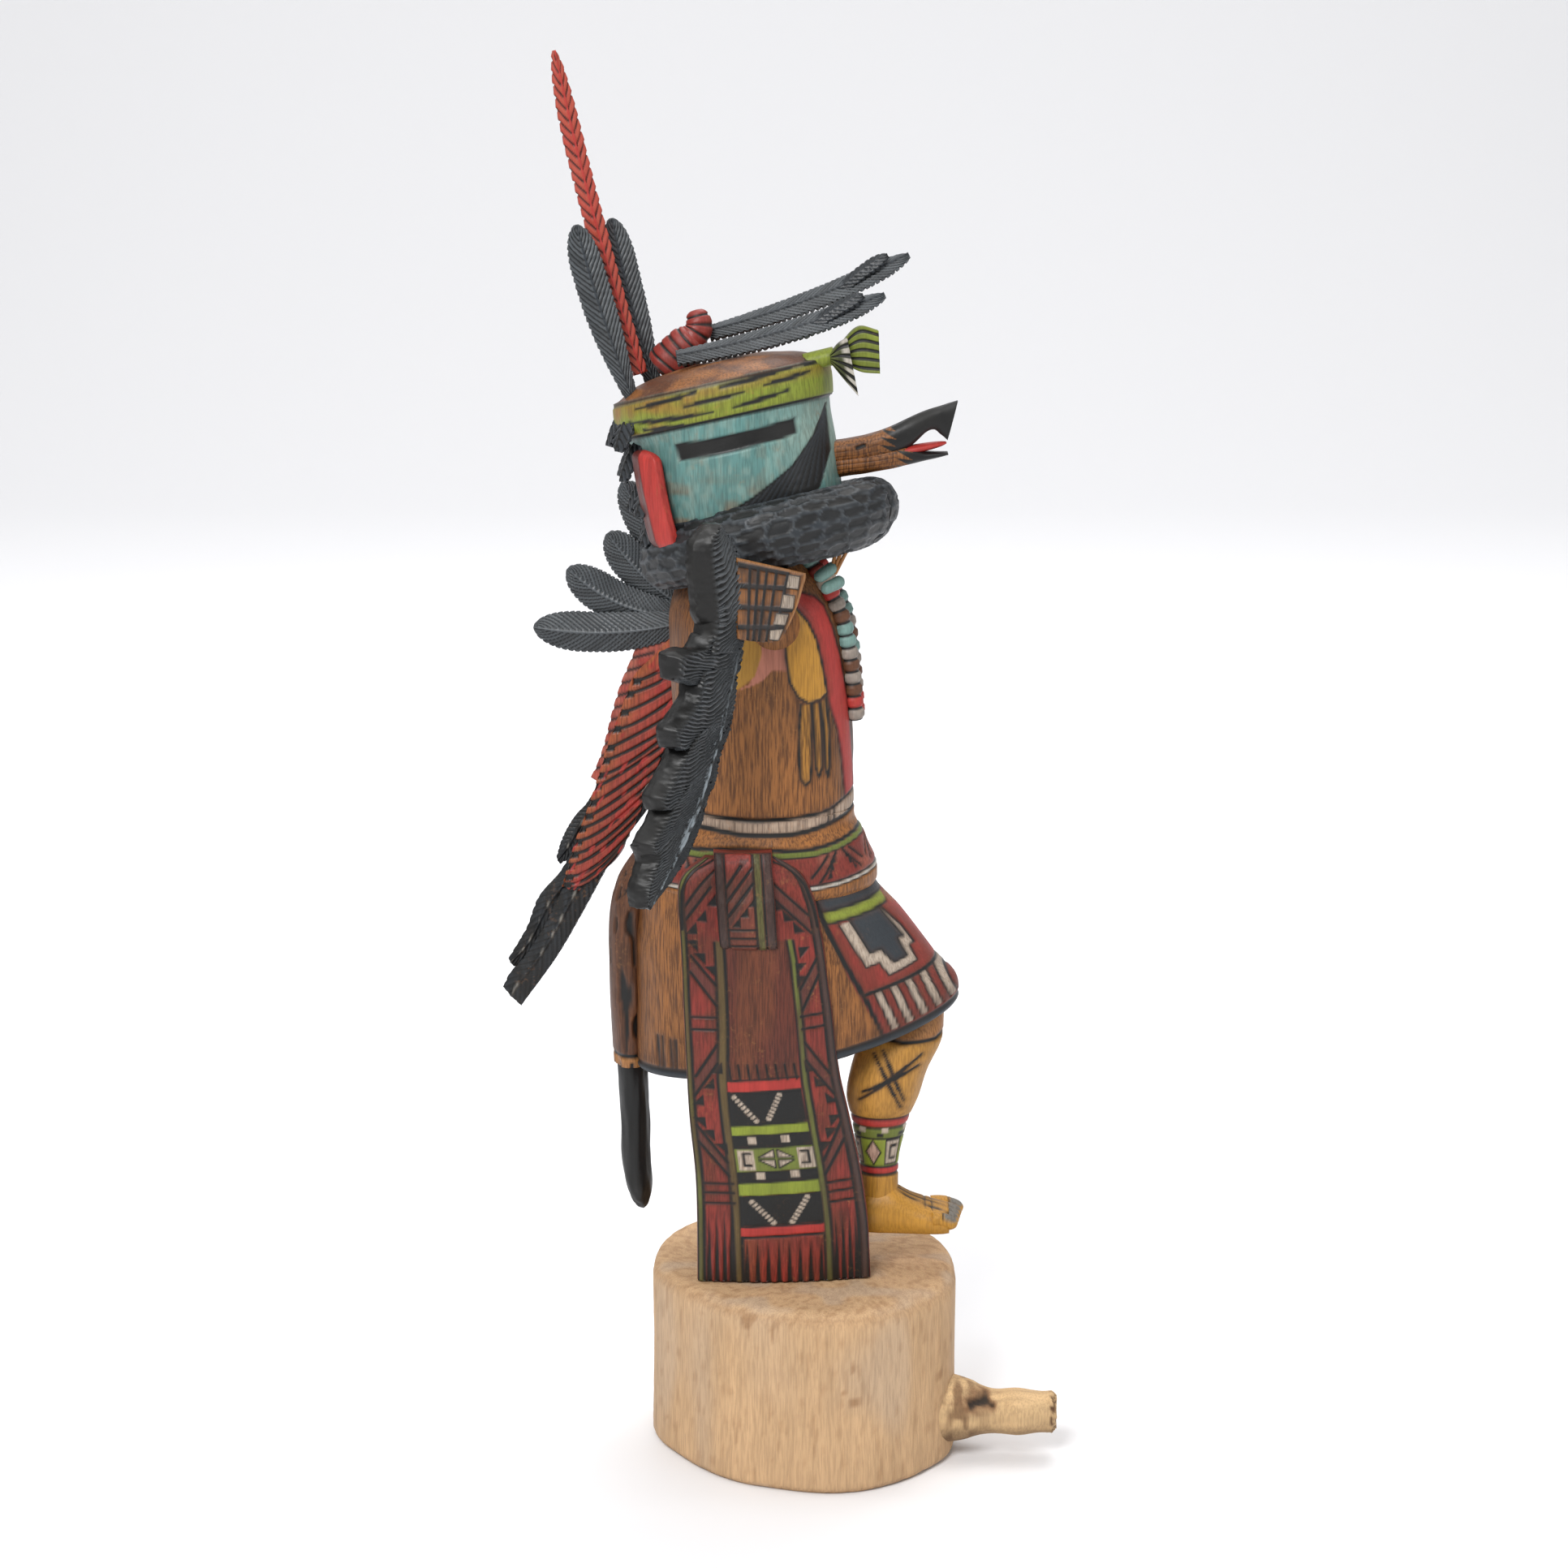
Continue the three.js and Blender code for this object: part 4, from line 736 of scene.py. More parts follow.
def belt_shell():
    paint, depth, seed = tools()
    rows = [(145, -12, 28.6, 22.4), (147, -12, 29.4, 23), (151, -12, 29, 22.8), (155, -11.5, 26.6, 22),
            (158, -11, 25, 21.4), (160, -10.8, 23.6, 20.4), (161, -10.6, 22.6, 19.8), (166, -10.6, 22.2, 19.6)]
    z = np.linspace(145, 165, 52)
    cx, rx, ry = eased(rows, z).T[..., None]
    belt = Shell(oval(cx, BODY_Y, z[:, None], rx, ry, turn_angles(260, 0.5)), paint["roll"], grain=0.8)
    white_band(belt)
    p, line, ink = belt.points, depth["line_depth"], paint["black"]
    x = np.clip(p[..., 0], -45, 18)
    edge = eased([(-45, 157), (-28.8, 157.4), (-15.5, 158.3), (-1.3, 157.8), (7, 158.7), (12.2, 160), (18, 161.6)],
                 x.ravel()).reshape(x.shape)
    rise = p[..., 2] - edge
    drop = eased([(-45, 8.8), (2.5, 9.0), (18, 10.4)], x.ravel()).reshape(x.shape)
    belt.cut -= 0.9 * np.exp(-((rise - 2) / 1.4)**2) + 0.5 * np.exp(-((rise + drop + 2.2) / 1.2)**2)
    belt.shade(0.15 * noise(p, (3, 3, 1.2), seed + 7))
    belt.lay(band(rise, -drop, -1.7), paint["cloth_red"], grain=0.5)
    belt.lay(0.35 * band(rise, -drop, -1.7) * step(-0.2, 0.5, noise(p, (5, 5, 4), seed + 8)), paint["pink"])
    belt.lay(band(rise, -1.8, -0.5), paint["green"], grain=0.3)
    belt.lay(band(rise + drop, -1.0, -0.3), paint["ivory"], grain=0.4)
    for height, thick in ((0, 1.0), (-1.9, 0.4)):
        belt.lay(band(rise, height - thick / 2, height + thick / 2), ink, grain=0.1, cut=line)
    belt.lay(band(rise + drop, -0.3, 0.3), ink, grain=0.1, cut=line)
    belt.lay(band(rise + drop, -1.4, -1.0), ink, grain=0.1, cut=line)
    pattern = joined(np.arctan2((p[..., 1] - BODY_Y) / 22.4, (p[..., 0] + 12) / 28.6) * 25, rise)
    unit = 2 * math.pi * 25 / 8
    for k in range(8):
        centre = -19.0 + k * unit
        centre -= 2 * math.pi * 25 * round(centre / (2 * math.pi * 25))
        for way in (-1, 1):
            for a, b in (((8.6, -6.8), (3.8, -2.6)), ((6.6, -8.4), (1.2, -2.4))):
                belt.score(pattern, [(centre + way * a[0], a[1]), (centre + way * b[0], b[1])], 0.75, ink, line)
            for at, height in ((3.7, -7.2), (2.7, -5.4), (1.7, -3.6)):
                near_by, away = centre + way * (at - 0.1), centre + way * (at + 1.4)
                belt.lay(inside(pattern, [(away, height - 1.1), (near_by, height - 1.1), (near_by, height + 1.4)]),
                         ink, grain=0.1, cut=0.5 * line)
    belt.chip(0.1, (4, 4, 3), seed + 2)
    return belt


def hem_height(x):
    along = x + 35
    return 98 + 0.1 * along + 0.0018 * along * np.abs(along)


def kilt_shell():
    paint, depth, seed = tools()
    angles = turn_angles(300, 0.6)
    line, ink = depth["line_depth"], paint["black"]

    def hem(share, lift):
        x = -2.5 + share * 40.5 * np.cos(angles)
        return joined(x, BODY_Y + share * 24 * np.sin(angles), hem_height(x) + lift)

    rings = [hem(0.5, 5), hem(0.84, 4), hem(0.9, 1.0), hem(0.95, 0.1), hem(0.985, 0.2), hem(1, 1.2), hem(1, 2.6)]
    rings += [oval(-6, BODY_Y, 127.76, 37, 24.4, angles), oval(-9.2, BODY_Y, 137.36, 33, 23.6, angles),
              oval(-12.4, BODY_Y, 146, 29, 22.4, angles), oval(-12.2, BODY_Y, 150, 28, 22, angles)]
    kilt = Shell(skin(rings, 140), paint["body_brown"], grain=0.9)
    flat, p = kilt.xz, kilt.points
    rise = p[..., 2] - hem_height(p[..., 0])
    outside = step(0.0, 0.3, rise + 0.2) * step(0.12, 0.2, np.linspace(0, 1, 140)[:, None])
    kilt.chip(depth["knife_work"], (6, 6, 9), seed + 5)
    kilt.shade(0.14 * noise(p, (1, 1, 9), seed + 6) + 0.16 * noise(p, (8, 8, 20), seed + 7))
    # painted shade: the kilt is darkened where its surface turns to the left, at its edge
    kilt.lay(0.5 * step(0.6, 1.0, -kilt.normal[..., 0]), paint["grain_shadow"])

    def mark(outline, colour, grain=0.3, cut=0.0):
        kilt.lay(inside(flat, outline) * outside, colour, grain=grain, cut=cut)

    mark([(1.7, 145.5), (16.8, 147), (19.5, 141.5), (24, 138), (37, 128.4), (44, 124), (42, 114), (18.9, 110),
          (9.5, 127), (4, 139)], paint["cloth_red"])
    kilt.lay(0.4 * inside(flat, [(5, 139), (20, 142), (37, 128), (15, 120)]) * outside
             * step(-0.3, 0.5, noise(p, (3, 3, 6), seed + 8)), paint["red"])
    mark([(1.2, 146), (8.9, 145.8), (18, 146.4), (17.9, 143.7), (2.9, 142.2)], paint["slate"], 0.2)
    mark([(2.9, 142.2), (17.9, 143.7), (19.5, 141.5), (4, 139.3)], paint["lime"])
    outer = [(7.6, 138.9), (14.4, 128.3), (17.6, 129.0), (20.1, 125.7), (27.3, 127.7), (25.3, 131.3), (26.6, 131.4),
             (23.3, 135.8), (17.8, 141.3)]
    inner = [(10.2, 139.8), (15.2, 131.6), (18.1, 132.0), (21.3, 128.5), (24.8, 129.3), (22.2, 133.6), (23.9, 133.5),
             (17.6, 141.0)]
    mark(outer, paint["white"], 0.5)
    mark(inner, paint["slate"], 0.2)
    for edge in (outer, inner):
        kilt.score(flat, edge, 0.45, ink, line, outside)
    for edge in ([(2.9, 142.2), (17.9, 143.7)], [(4, 139.3), (19.5, 141.3)], [(1.5, 145.6), (17, 146)]):
        kilt.score(flat, edge, 0.6, ink, line, outside)
    kilt.score(flat, [(1.7, 144.9), (5, 137.6), (9.5, 129), (15, 119), (18.9, 110.5)], 1.3, ink, line, outside)
    top, low = np.array([(14.4, 121.7), (36.8, 127.4)]), np.array([(18.9, 111.5), (41.3, 119.4)])
    for k in range(12):
        a, b = mix(top[0], top[1], k / 12), mix(top[0], top[1], (k + 1) / 12)
        c, d = mix(low[0], low[1], (k + 1) / 12), mix(low[0], low[1], k / 12)
        mark([a, b, c, d], paint["white"] if k % 2 else paint["cloth_red"], 0.5)
    for k in range(1, 12):
        kilt.score(flat, [mix(top[0], top[1], k / 12), mix(low[0], low[1], k / 12)], 0.5, ink, line, outside)
    kilt.score(flat, [tuple(top[0]), tuple(top[1])], 0.9, ink, line, outside)
    for x_at in (-37.3, -36.1, -34.0, -32.8):
        kilt.score(flat, [(x_at, 108.4), (x_at + 0.4, 101.0)], 0.7, ink, line, outside)
    kilt.lay(band(rise, -2, 2.5) * outside, paint["slate"], grain=0.15)
    kilt.lay(band(rise, 1.6, 2.6) * outside, ink, grain=0.1, cut=line)
    kilt.lay(0.3 * band(rise, 2.6, 5.5, 2.0) * outside, BURNT)
    return kilt


# Legs

def leg_shell(rows, depth_share, steps=120, sides=64):
    """Rings up a leg; each row is a height, a middle, a radius and a place across."""
    z = np.linspace(rows[0][0], rows[-1][0], steps)
    cx, r, y = eased(rows, z).T[..., None]
    return oval(cx, y, z[:, None], r, depth_share * r, turn_angles(sides, 0.55))


FOOT_LENGTH = 27
FOOT_HALF = 7


def foot_rings(heel, y, sole, steps, sides):
    """Rings from the heel to the ball of a foot; each row is a share, half width, underside and top."""
    rows = [(0, 0.5, 1.2, 6.6), (0.03, 0.6, 0.6, 8.6), (0.14, 0.78, 0.2, 10.5), (0.36, 0.82, 0, 12),
            (0.6, 0.92, 0, 9), (0.86, 1, 0.1, 6.6), (0.93, 0.98, 0.3, 6)]
    share = np.linspace(0, 0.93, steps)
    half, low, high = eased(rows, share).T[..., None]
    angle = np.arange(sides) / sides * 2 * math.pi
    lift = np.maximum(np.sin(angle), -0.55)
    under = mix(low, mix(low, high, 0.355), (lift + 0.55) / 0.55)
    z = np.where(lift < 0, under, mix(low, high, (lift + 0.55) / 1.55))
    return joined(heel + share[:, None] * FOOT_LENGTH, y + half * FOOT_HALF * np.cos(angle), sole + z)


def leg_group(shift, rows, depth_share, heel, sole):
    """A leg with its anklet, its foot and five toes."""
    paint, depth, seed = tools()
    line, ink = depth["line_depth"], paint["black"]
    y = rows[0][3]
    leg = Shell(leg_shell(rows, depth_share), paint["skin_yellow"], grain=0.4)
    leg.chip(depth["knife_work"], (4, 4, 7), seed + shift)
    leg.shade(0.16 * noise(leg.points, (1.8, 1.8, 14), seed + shift + 2))
    foot = Shell(foot_rings(heel, y, sole, 60, 48), paint["yellow"], grain=0.3)
    foot.chip(0.14, (4, 4, 3), seed + shift + 1)
    foot.shade(0.14 * noise(foot.points, (9, 2, 2), seed + shift + 3))
    shells = [leg, foot]
    for k in range(5):
        side = mix(-0.8, 0.8, k / 4) * FOOT_HALF
        reach = FOOT_LENGTH * (0.17 + 0.018 * k)
        start = np.array([heel + 21, y + side, sole + 4.0])
        t = np.linspace(0, 1, 24)
        route = bent(start, start + [reach * 0.75, 0, 0.5], start + [reach + 1.1, 0, -2.0], t)
        radius = (2.05 if k == 4 else 1.7) * np.sqrt(np.clip(1 - ((t - 0.74) / 0.27).clip(0)**2, 0.05, 1))
        toe = Shell(rope_of(route, joined(radius, radius * 1.1), 16), paint["yellow"], grain=0.4)
        nail = step(start[0] + reach - 2.0, start[0] + reach - 1.5, toe.points[..., 0]) * step(
            0.1, 0.5, toe.normal[..., 2])
        toe.lay(nail, linear("6f6a62"), cut=0.15)
        rim = band(toe.points[..., 0], start[0] + reach - 2.3, start[0] + reach - 1.9) * (toe.normal[..., 2] > 0.1)
        toe.lay(rim, ink, cut=0.2)
        shells.append(toe)
    top = foot.points[..., [0, 1]]
    above = np.clip(foot.normal[..., 2] * 3, 0, 1) * step(heel + 9, heel + 12, foot.points[..., 0])
    for k in range(4):
        gap = y + mix(-0.6, 0.6, k / 3) * FOOT_HALF
        foot.score(top, [(heel + 12, y + 0.45 * (gap - y)), (heel + 26, gap)], 0.55, ink, line, above)
        for x_at in (heel + 19, heel + 21):
            middle = mix(y + 0.45 * (gap - y), gap, (x_at - heel - 12) / 14)
            foot.lay(stroke(top, [(x_at, middle - 0.9), (x_at, middle + 0.9)], 0.4) * above, ink, cut=line)
    ankle = rows[0][0]
    z = leg.points[..., 2]
    around = np.arctan2(leg.points[..., 1] - y, leg.points[..., 0] - rows[0][1]) * 6
    flat = joined(around, z)
    leg.lay(1 - step(ankle + 4, ankle + 9, z), paint["yellow"], grain=0.5)
    leg.lay(band(z, ankle + 9.4, ankle + 20.6), paint["lime"], grain=0.2)
    leg.lay(band(z, ankle + 17.4, ankle + 20.0), paint["green"], grain=0.2)
    for low, high in ((7.4, 9.2), (20.3, 22.4)):
        leg.lay(band(z, ankle + low, ankle + high), paint["red"], grain=0.3)
        leg.cut -= 0.25 * band(z, ankle + low, ankle + high)
    for height, thick in ((7.2, 0.7), (9.4, 0.6), (17.2, 0.5), (20.1, 0.6), (22.6, 0.8)):
        leg.lay(band(z, ankle + height - thick / 2, ankle + height + thick / 2), ink, cut=line)
    middle = ankle + 13.3
    for k in range(-3, 4):
        at = k * 6.2 - 11.4
        if k % 2 == 0:
            corner = [(at - 2.4, middle), (at, middle + 3.3), (at + 2.4, middle), (at, middle - 3.3)]
            leg.lay(inside(flat, corner), paint["white"], grain=0.6)
            leg.lay(0.4 * inside(flat, corner), paint["pink"])
            leg.lay(stroke(flat, corner + corner[:1], 0.5), ink, cut=line)
        else:
            corner = box(at - 2.2, middle - 3.3, at + 2.2, middle + 3.4)
            leg.lay(inside(flat, corner), paint["white"], grain=0.6)
            leg.lay(stroke(flat, corner + corner[:1], 0.5), ink, cut=line)
            low, high = middle - 1.7, middle + 1.7
            hook = [(at + 1, low), (at - 0.7, low), (at - 0.7, high), (at + 1, high)]
            leg.lay(stroke(flat, hook, 0.8), ink, cut=line)
        for low in (17.6, 18.9):
            mark = box(at + 1.6 + low - 18, ankle + low, at + 3.4 + low - 18, ankle + low + 1.2)
            leg.lay(inside(flat, mark), ink if low < 18 else paint["white"])
    return shells


def leg_shells():
    paint, depth, _ = tools()
    line, ink = depth["line_depth"], paint["black"]
    ankle = 64.5
    raised = leg_group(20, [(ankle, 18, 4.9, -4), (ankle + 8, 18, 4.9, -4), (ankle + 16, 18, 6.1, -4),
                            (ankle + 21, 18.2, 7.1, -4), (ankle + 27, 18.8, 9, -4), (ankle + 34, 20.4, 9.6, -3.6),
                            (ankle + 41, 23.2, 10.2, -2.4), (ankle + 46, 25, 9.2, -0.6), (ankle + 50, 26, 8.2, 1),
                            (ankle + 55, 26, 7, 2)], 0.86, 10.5, 56.5)
    leg = raised[0]
    flat, near = leg.xz, leg.near
    for a, b in (((16.5, 104.1), (23.2, 90.4)), ((18.7, 105.1), (24.0, 92.2)), ((28.5, 104.1), (12.7, 92.2)),
                 ((27.8, 101.2), (13.5, 94.4))):
        a, b = np.array(a), np.array(b)
        leg.score(flat, [a, b], 0.7, ink, line, near)
        leg.lay(stroke(flat, [mix(a, b, 0.25), mix(a, b, 0.75)], 1.1) * near, ink, cut=line)
    crease = [(12, 111.5), (16.9, 109.9), (21, 107.6), (25.6, 107.2), (32.2, 107.3), (36, 109)]
    leg.lay(inside(flat, crease + [(38, 120), (10, 120)]) * near, paint["bare_wood"], grain=0.6)
    leg.score(flat, crease, 1.0, ink, 0.5, near)
    for a, b in (((25.2, 113.3), (24.4, 110.4)), ((28.4, 113.8), (27.6, 110.8))):
        leg.score(flat, [a, b], 0.6, ink, line, near)
    standing = leg_group(30, [(54.3, -10, 4.9, 11), (61.3, -10, 4.9, 11), (69.3, -10.5, 6.3, 11),
                              (81.3, -10.8, 9.6, 11), (93.3, -9.6, 9.6, 11), (105.3, -8.5, 10.6, 11)], 0.9, -16, 47.3)
    return raised + standing


# Sash

SASH_ROWS = [
    (47.4, -27.5, 15.8, -18.4), (61, -27.5, 15.2, -19.2), (75, -27.8, 13.4, -20.2), (91, -29.2, 10.2, -21.8),
    (101, -29.7, 8, -22.8), (119, -30.4, 5.8, -23.6), (137, -31, 3.4, -23.6), (147, -31.6, 1.2, -22.8),
    (153, -30.2, -2, -21.6), (157, -25, -8, -20.4),
]


SASH_WIDTH = 38


def sash_shells():
    """The hanging sash, its pattern drawn on a flat of SASH_WIDTH across and the height, and the over-loop."""
    paint, depth, seed = tools()
    line, ink = depth["line_depth"], paint["black"]
    z = np.linspace(47.4, 157, 300)
    left, right, near = eased(SASH_ROWS, z).T
    u, side = loop_section(132, 4)
    t = (u + 1) / 2
    x = mix(left[:, None], right[:, None], t)
    y = near[:, None] + 9.0 * (t - 0.36)**2 + 1.0 - 1.5 * side
    points = joined(x, y, z[:, None])
    sash = Shell(points, paint["cloth_red"], grain=0.6)
    front = np.clip(side, 0, 1)
    level = points[..., 2]
    flat = joined(t * SASH_WIDTH, level)
    sash.lay(0.28 * step(-0.4, 0.8, noise(points, (5, 5, 12), seed + 13)), paint["red"])
    sash.lay(0.5 * step(0, 0.7, noise(points, (4, 4, 9), seed + 14)), BURNT)

    def mark(mask, colour, cut=0.0, grain=0.25):
        sash.lay(mask * front, paint[colour], grain=grain, cut=cut)

    def score(ends, width=0.8):
        sash.score(flat, [(a * SASH_WIDTH, b) for a, b in ends], width, ink, line, front)

    strips = eased([(47, 0.225, 0.262, 0.745, 0.785), (67, 0.213, 0.256, 0.742, 0.78),
                    (83, 0.209, 0.256, 0.736, 0.779), (99.6, 0.209, 0.262, 0.737, 0.79),
                    (115, 0.232, 0.288, 0.748, 0.796), (131, 0.243, 0.298, 0.752, 0.797),
                    (137, 0.245, 0.3, 0.75, 0.79)], z)
    inner_left, centre_left, centre_right, inner_right = (strips[:, k:k + 1] for k in range(4))
    hang = band(level, 46, 137.2)
    centre = band(t, centre_left, centre_right, 0.008) * hang
    mark(centre * band(level, 102, 170), "sash_wood", grain=0.7)
    sash.lay(0.15 * centre * step(-0.3, 0.5, noise(points, (5, 5, 20), seed + 15)), paint["roll"])
    for low, high, colour in ((0.0, 0.036, "olive"), (0.955, 0.995, "mauve")):
        mark(band(t, low, high, 0.008), colour, -0.15)
    mark(band(t, inner_left, centre_left, 0.008) * hang, "olive", -0.15)
    mark(band(t, inner_right - 0.034, inner_right, 0.008) * hang, "olive", -0.15)
    borders = band(t, 0, 0.036, 0.008) + band(t, inner_right - 0.034, inner_right, 0.008) * hang
    mark(0.7 * borders * step(-0.3, 0.5, noise(points, (3, 3, 14), seed + 17)), "green")
    mark(0.45 * band(t, inner_left, centre_left, 0.008) * hang, "fur")
    mark(0.4 * band(t, 0, 0.036, 0.008) * band(level, 80, 140, 20), "fur")
    edges = [(0.004, 0.008, 1), (0.044, 0.011, 1), (0.946, 0.012, 1), (0.993, 0.008, 1)]
    edges += [(inner_left - 0.006, 0.01, hang), (centre_left + 0.006, 0.012, hang),
              (inner_right - 0.04, 0.008, hang), (inner_right + 0.005, 0.01, hang)]
    for at, half, where in edges:
        mark(band(t, at - half, at + half, 0.01) * where, "black", line)

    tilted = level - 0.045 * (points[..., 0] + 10)
    bands = [(98.9, 101.7, "red"), (89.9, 98.4, "black"), (87.1, 89.7, "lime"), (83.9, 86.8, "black"),
             (77.2, 83.6, "green"), (74.5, 76.9, "black"), (70.8, 74.2, "lime"), (62.7, 70.4, "black"),
             (59.9, 62.3, "red")]
    for low, high, colour in bands:
        mark(centre * band(tilted, low, high), colour, 0.15 if colour == "black" else 0.0, 0.2)
        mark(centre * band(tilted, high - 0.2, high + 0.4), "black", line)
    mark(centre * band(tilted, 59.2, 59.9), "black", line)
    for k in range(8):
        at = mix(0.29, 0.72, k / 7)
        score([(at, 101.8), (at - 0.008, 105.5)], 0.6)
    ladders = [((0.3, 97.0), (0.42, 90.8)), ((0.59, 97.6), (0.5, 91.4)), ((0.33, 68.9), (0.45, 63.4)),
               ((0.66, 70.1), (0.56, 63.6))]
    for a, b in ladders:
        a, b = (np.array([end[0] * SASH_WIDTH, end[1]]) for end in (a, b))
        mark(stroke(flat, [a, b], 1.3), "white", grain=0.5)
        across = np.array([b[1] - a[1], a[0] - b[0]]) / np.linalg.norm(b - a)
        for k in range(7):
            at = mix(a, b, (k + 0.5) / 7)
            mark(stroke(flat, [at - across, at + across], 0.4), "black", line)
    for at, low in ((0.375, 84.5), (0.58, 85.0), (0.395, 75.0), (0.605, 75.6)):
        at *= SASH_WIDTH
        mark(inside(flat, box(at - 1.0, low, at + 1.0, low + 1.8)), "white", grain=0.6)
    for at, way, low in ((0.322, 1, 77.5), (0.688, -1, 78.1)):
        at *= SASH_WIDTH
        mark(inside(flat, box(at - 1.9, low, at + 1.9, low + 5.4)), "white", grain=0.6)
        hook = [(at + 1.0 * way, low + 1.2), (at - 0.6 * way, low + 1.2), (at - 0.6 * way, low + 4.4),
                (at + 1.0 * way, low + 4.4)]
        mark(stroke(flat, hook, 0.7), "black", line)
    middle = np.array([19.2, 80.6])
    for way in (-1, 1):
        for rise in (-1, 1):
            corner = [middle + [way * a, rise * b] for a, b in ((0.4, 0.35), (4.1, 0.35), (0.4, 2.5))]
            mark(inside(flat, corner), "white", -0.1, 0.6)
            mark(stroke(flat, corner + corner[:1], 0.4), "black", line)
    teeth = [((0.087, 140.4), (0.165, 143.5), (0.253, 147.4)), ((0.083, 135.8), (0.13, 132.6), (0.198, 129.4)),
             ((0.201, 104.8), (0.142, 100.7), (0.065, 96.2)), ((0.063, 90.1), (0.11, 86.7), (0.18, 83.2)),
             ((0.726, 146), (0.793, 143.2), (0.852, 140.2)), ((0.863, 133.7), (0.827, 129.7), (0.825, 126.5)),
             ((0.82, 104.8), (0.87, 100.7), (0.92, 96.2)), ((0.915, 90.1), (0.875, 86.7), (0.825, 83.2))]
    for k, row in enumerate(teeth):
        way = 1 if row[0][0] < 0.5 else -1
        down = -1 if k % 2 else 1
        for at, height in row:
            at *= SASH_WIDTH
            mark(inside(flat, [(at - 1.6 * way, height - 1.4 * down), (at + 1.5 * way, height - 1.6 * down),
                               (at + 1.5 * way, height + 1.6 * down)]), "black", line)
    pairs = [((0.05, 145.6), (0.25, 154.4)), ((0.052, 142.4), (0.25, 150.4)), ((0.07, 133.3), (0.232, 126.0)),
             ((0.06, 129.2), (0.228, 120.8)), ((0.06, 102.4), (0.215, 110.8)), ((0.045, 97.2), (0.21, 105.9)),
             ((0.045, 89.4), (0.205, 79.6)), ((0.045, 85.0), (0.205, 75.9)), ((0.728, 151.4), (0.93, 143.0)),
             ((0.705, 147.6), (0.93, 138.6)), ((0.94, 131.9), (0.806, 124.6)), ((0.94, 127.8), (0.806, 119.2)),
             ((0.94, 102.4), (0.8, 110.9)), ((0.94, 97.2), (0.797, 106.2)), ((0.94, 89.4), (0.79, 79.6)),
             ((0.94, 85.0), (0.785, 75.9))]
    for k in range(0, len(pairs), 2):
        (a, b), (c, d) = pairs[k], pairs[k + 1]
        mark(0.6 * inside(flat, [(q[0] * SASH_WIDTH, q[1]) for q in (a, b, d, c)]), "mauve")
        score((a, b))
        score((c, d))
    for height in (117.8, 114.6, 73.8, 71.3, 68.6):
        score([(0.05, height), (0.225, height)], 0.7)
        score([(0.79, height - 0.2), (0.94, height + 0.4)], 0.7)
    fringe = ((0.07, 66.5), (0.115, 66.8), (0.16, 66.6), (0.198, 66), (0.81, 66), (0.85, 67), (0.89, 66.6),
              (0.925, 66.2))
    for at, top in fringe + tuple((mix(0.29, 0.72, k / 7), 59.4) for k in range(8)):
        at *= SASH_WIDTH
        half_way = mix(47, top, 0.5)
        wedge = [(at - 0.65, 47), (at + 0.65, 47), (at + 0.35, half_way), (at + 0.1, top), (at - 0.35, half_way)]
        mark(inside(flat, wedge), "black", 0.4)
    arch = ([(0.02, 140), (0.03, 149), (0.07, 154.6), (0.16, 157.4)],
            [(0.985, 140), (0.975, 150), (0.93, 155), (0.8, 157.4)])
    for edge in arch:
        score(edge, 0.9)
    sash.shade(0.16 * noise(points, (2.2, 2.2, 12), seed + 11))
    sash.chip(0.1, (5, 5, 8), seed + 10)

    z = np.linspace(135, 158.5, 90)
    proud = eased([(135, 0.2), (136, 0.9), (150, 1), (156.5, 0.9), (158.5, 0.3)], z)[:, 0]
    centre_x = -14.4 - 0.066 * (z - 136)
    near = mix(-23.8, -21.6, np.clip((z - 147) / 12, 0, 1)) - 1.6 * proud
    u, side = loop_section(60, 4)
    x = centre_x[:, None] + 7.1 * u
    y = near[:, None] + 0.8 * u**2 + 2.2 - 2.2 * side
    points = joined(x, y, z[:, None])
    over = Shell(points, linear("6f3628"), grain=0.5)
    flat = joined(u * 7.1, points[..., 2])
    front = np.clip(side, 0, 1)
    across = flat[..., 0]
    over.lay(0.5 * step(150, 158, points[..., 2]), paint["red"])
    for low, high, colour in ((-6.6, -4.9, "mauve"), (2.6, 4.2, "olive"), (4.9, 6.6, "mauve")):
        over.lay(band(across, low, high) * front, paint[colour], cut=-0.15)
    for at in (-6.9, -4.6, 2.3, 4.55, 6.9):
        over.lay(band(across, at - 0.32, at + 0.32) * front, ink, cut=line)
    for stripe in ([(-4.4, 147), (-0.6, 157.5), (1.6, 157.5), (-4.4, 150.8)],
                   [(-4.2, 144.5), (2.2, 155), (2.2, 151.4), (-4.2, 141.2)]):
        over.lay(0.6 * inside(flat, stripe) * front, paint["mauve"])
    for a, b in (((-4.4, 150.8), (-0.6, 156)), ((-4.4, 147.4), (2.2, 155.6)), ((-4.3, 144), (2.2, 151.8))):
        over.score(flat, [a, b], 0.75, ink, line, front)
    for j in range(3):
        at, high = -2.6 + j * 2.1, 142.6 + j * 2.5
        over.lay(inside(flat, [(at - 1.1, high - 1.3), (at + 1.1, high - 1.3), (at + 1.1, high + 1.3)]) * front,
                 ink, cut=line)
    for height in (140.6, 138.4, 136.2):
        over.score(flat, [(-4.6, height), (2.3, height)], 0.6, ink, line, front)
    over.shade(0.2 * noise(points, (2, 2, 9), seed + 16))
    over.chip(0.1, (4, 4, 6), seed + 12)
    return [sash, over]


# Pelt

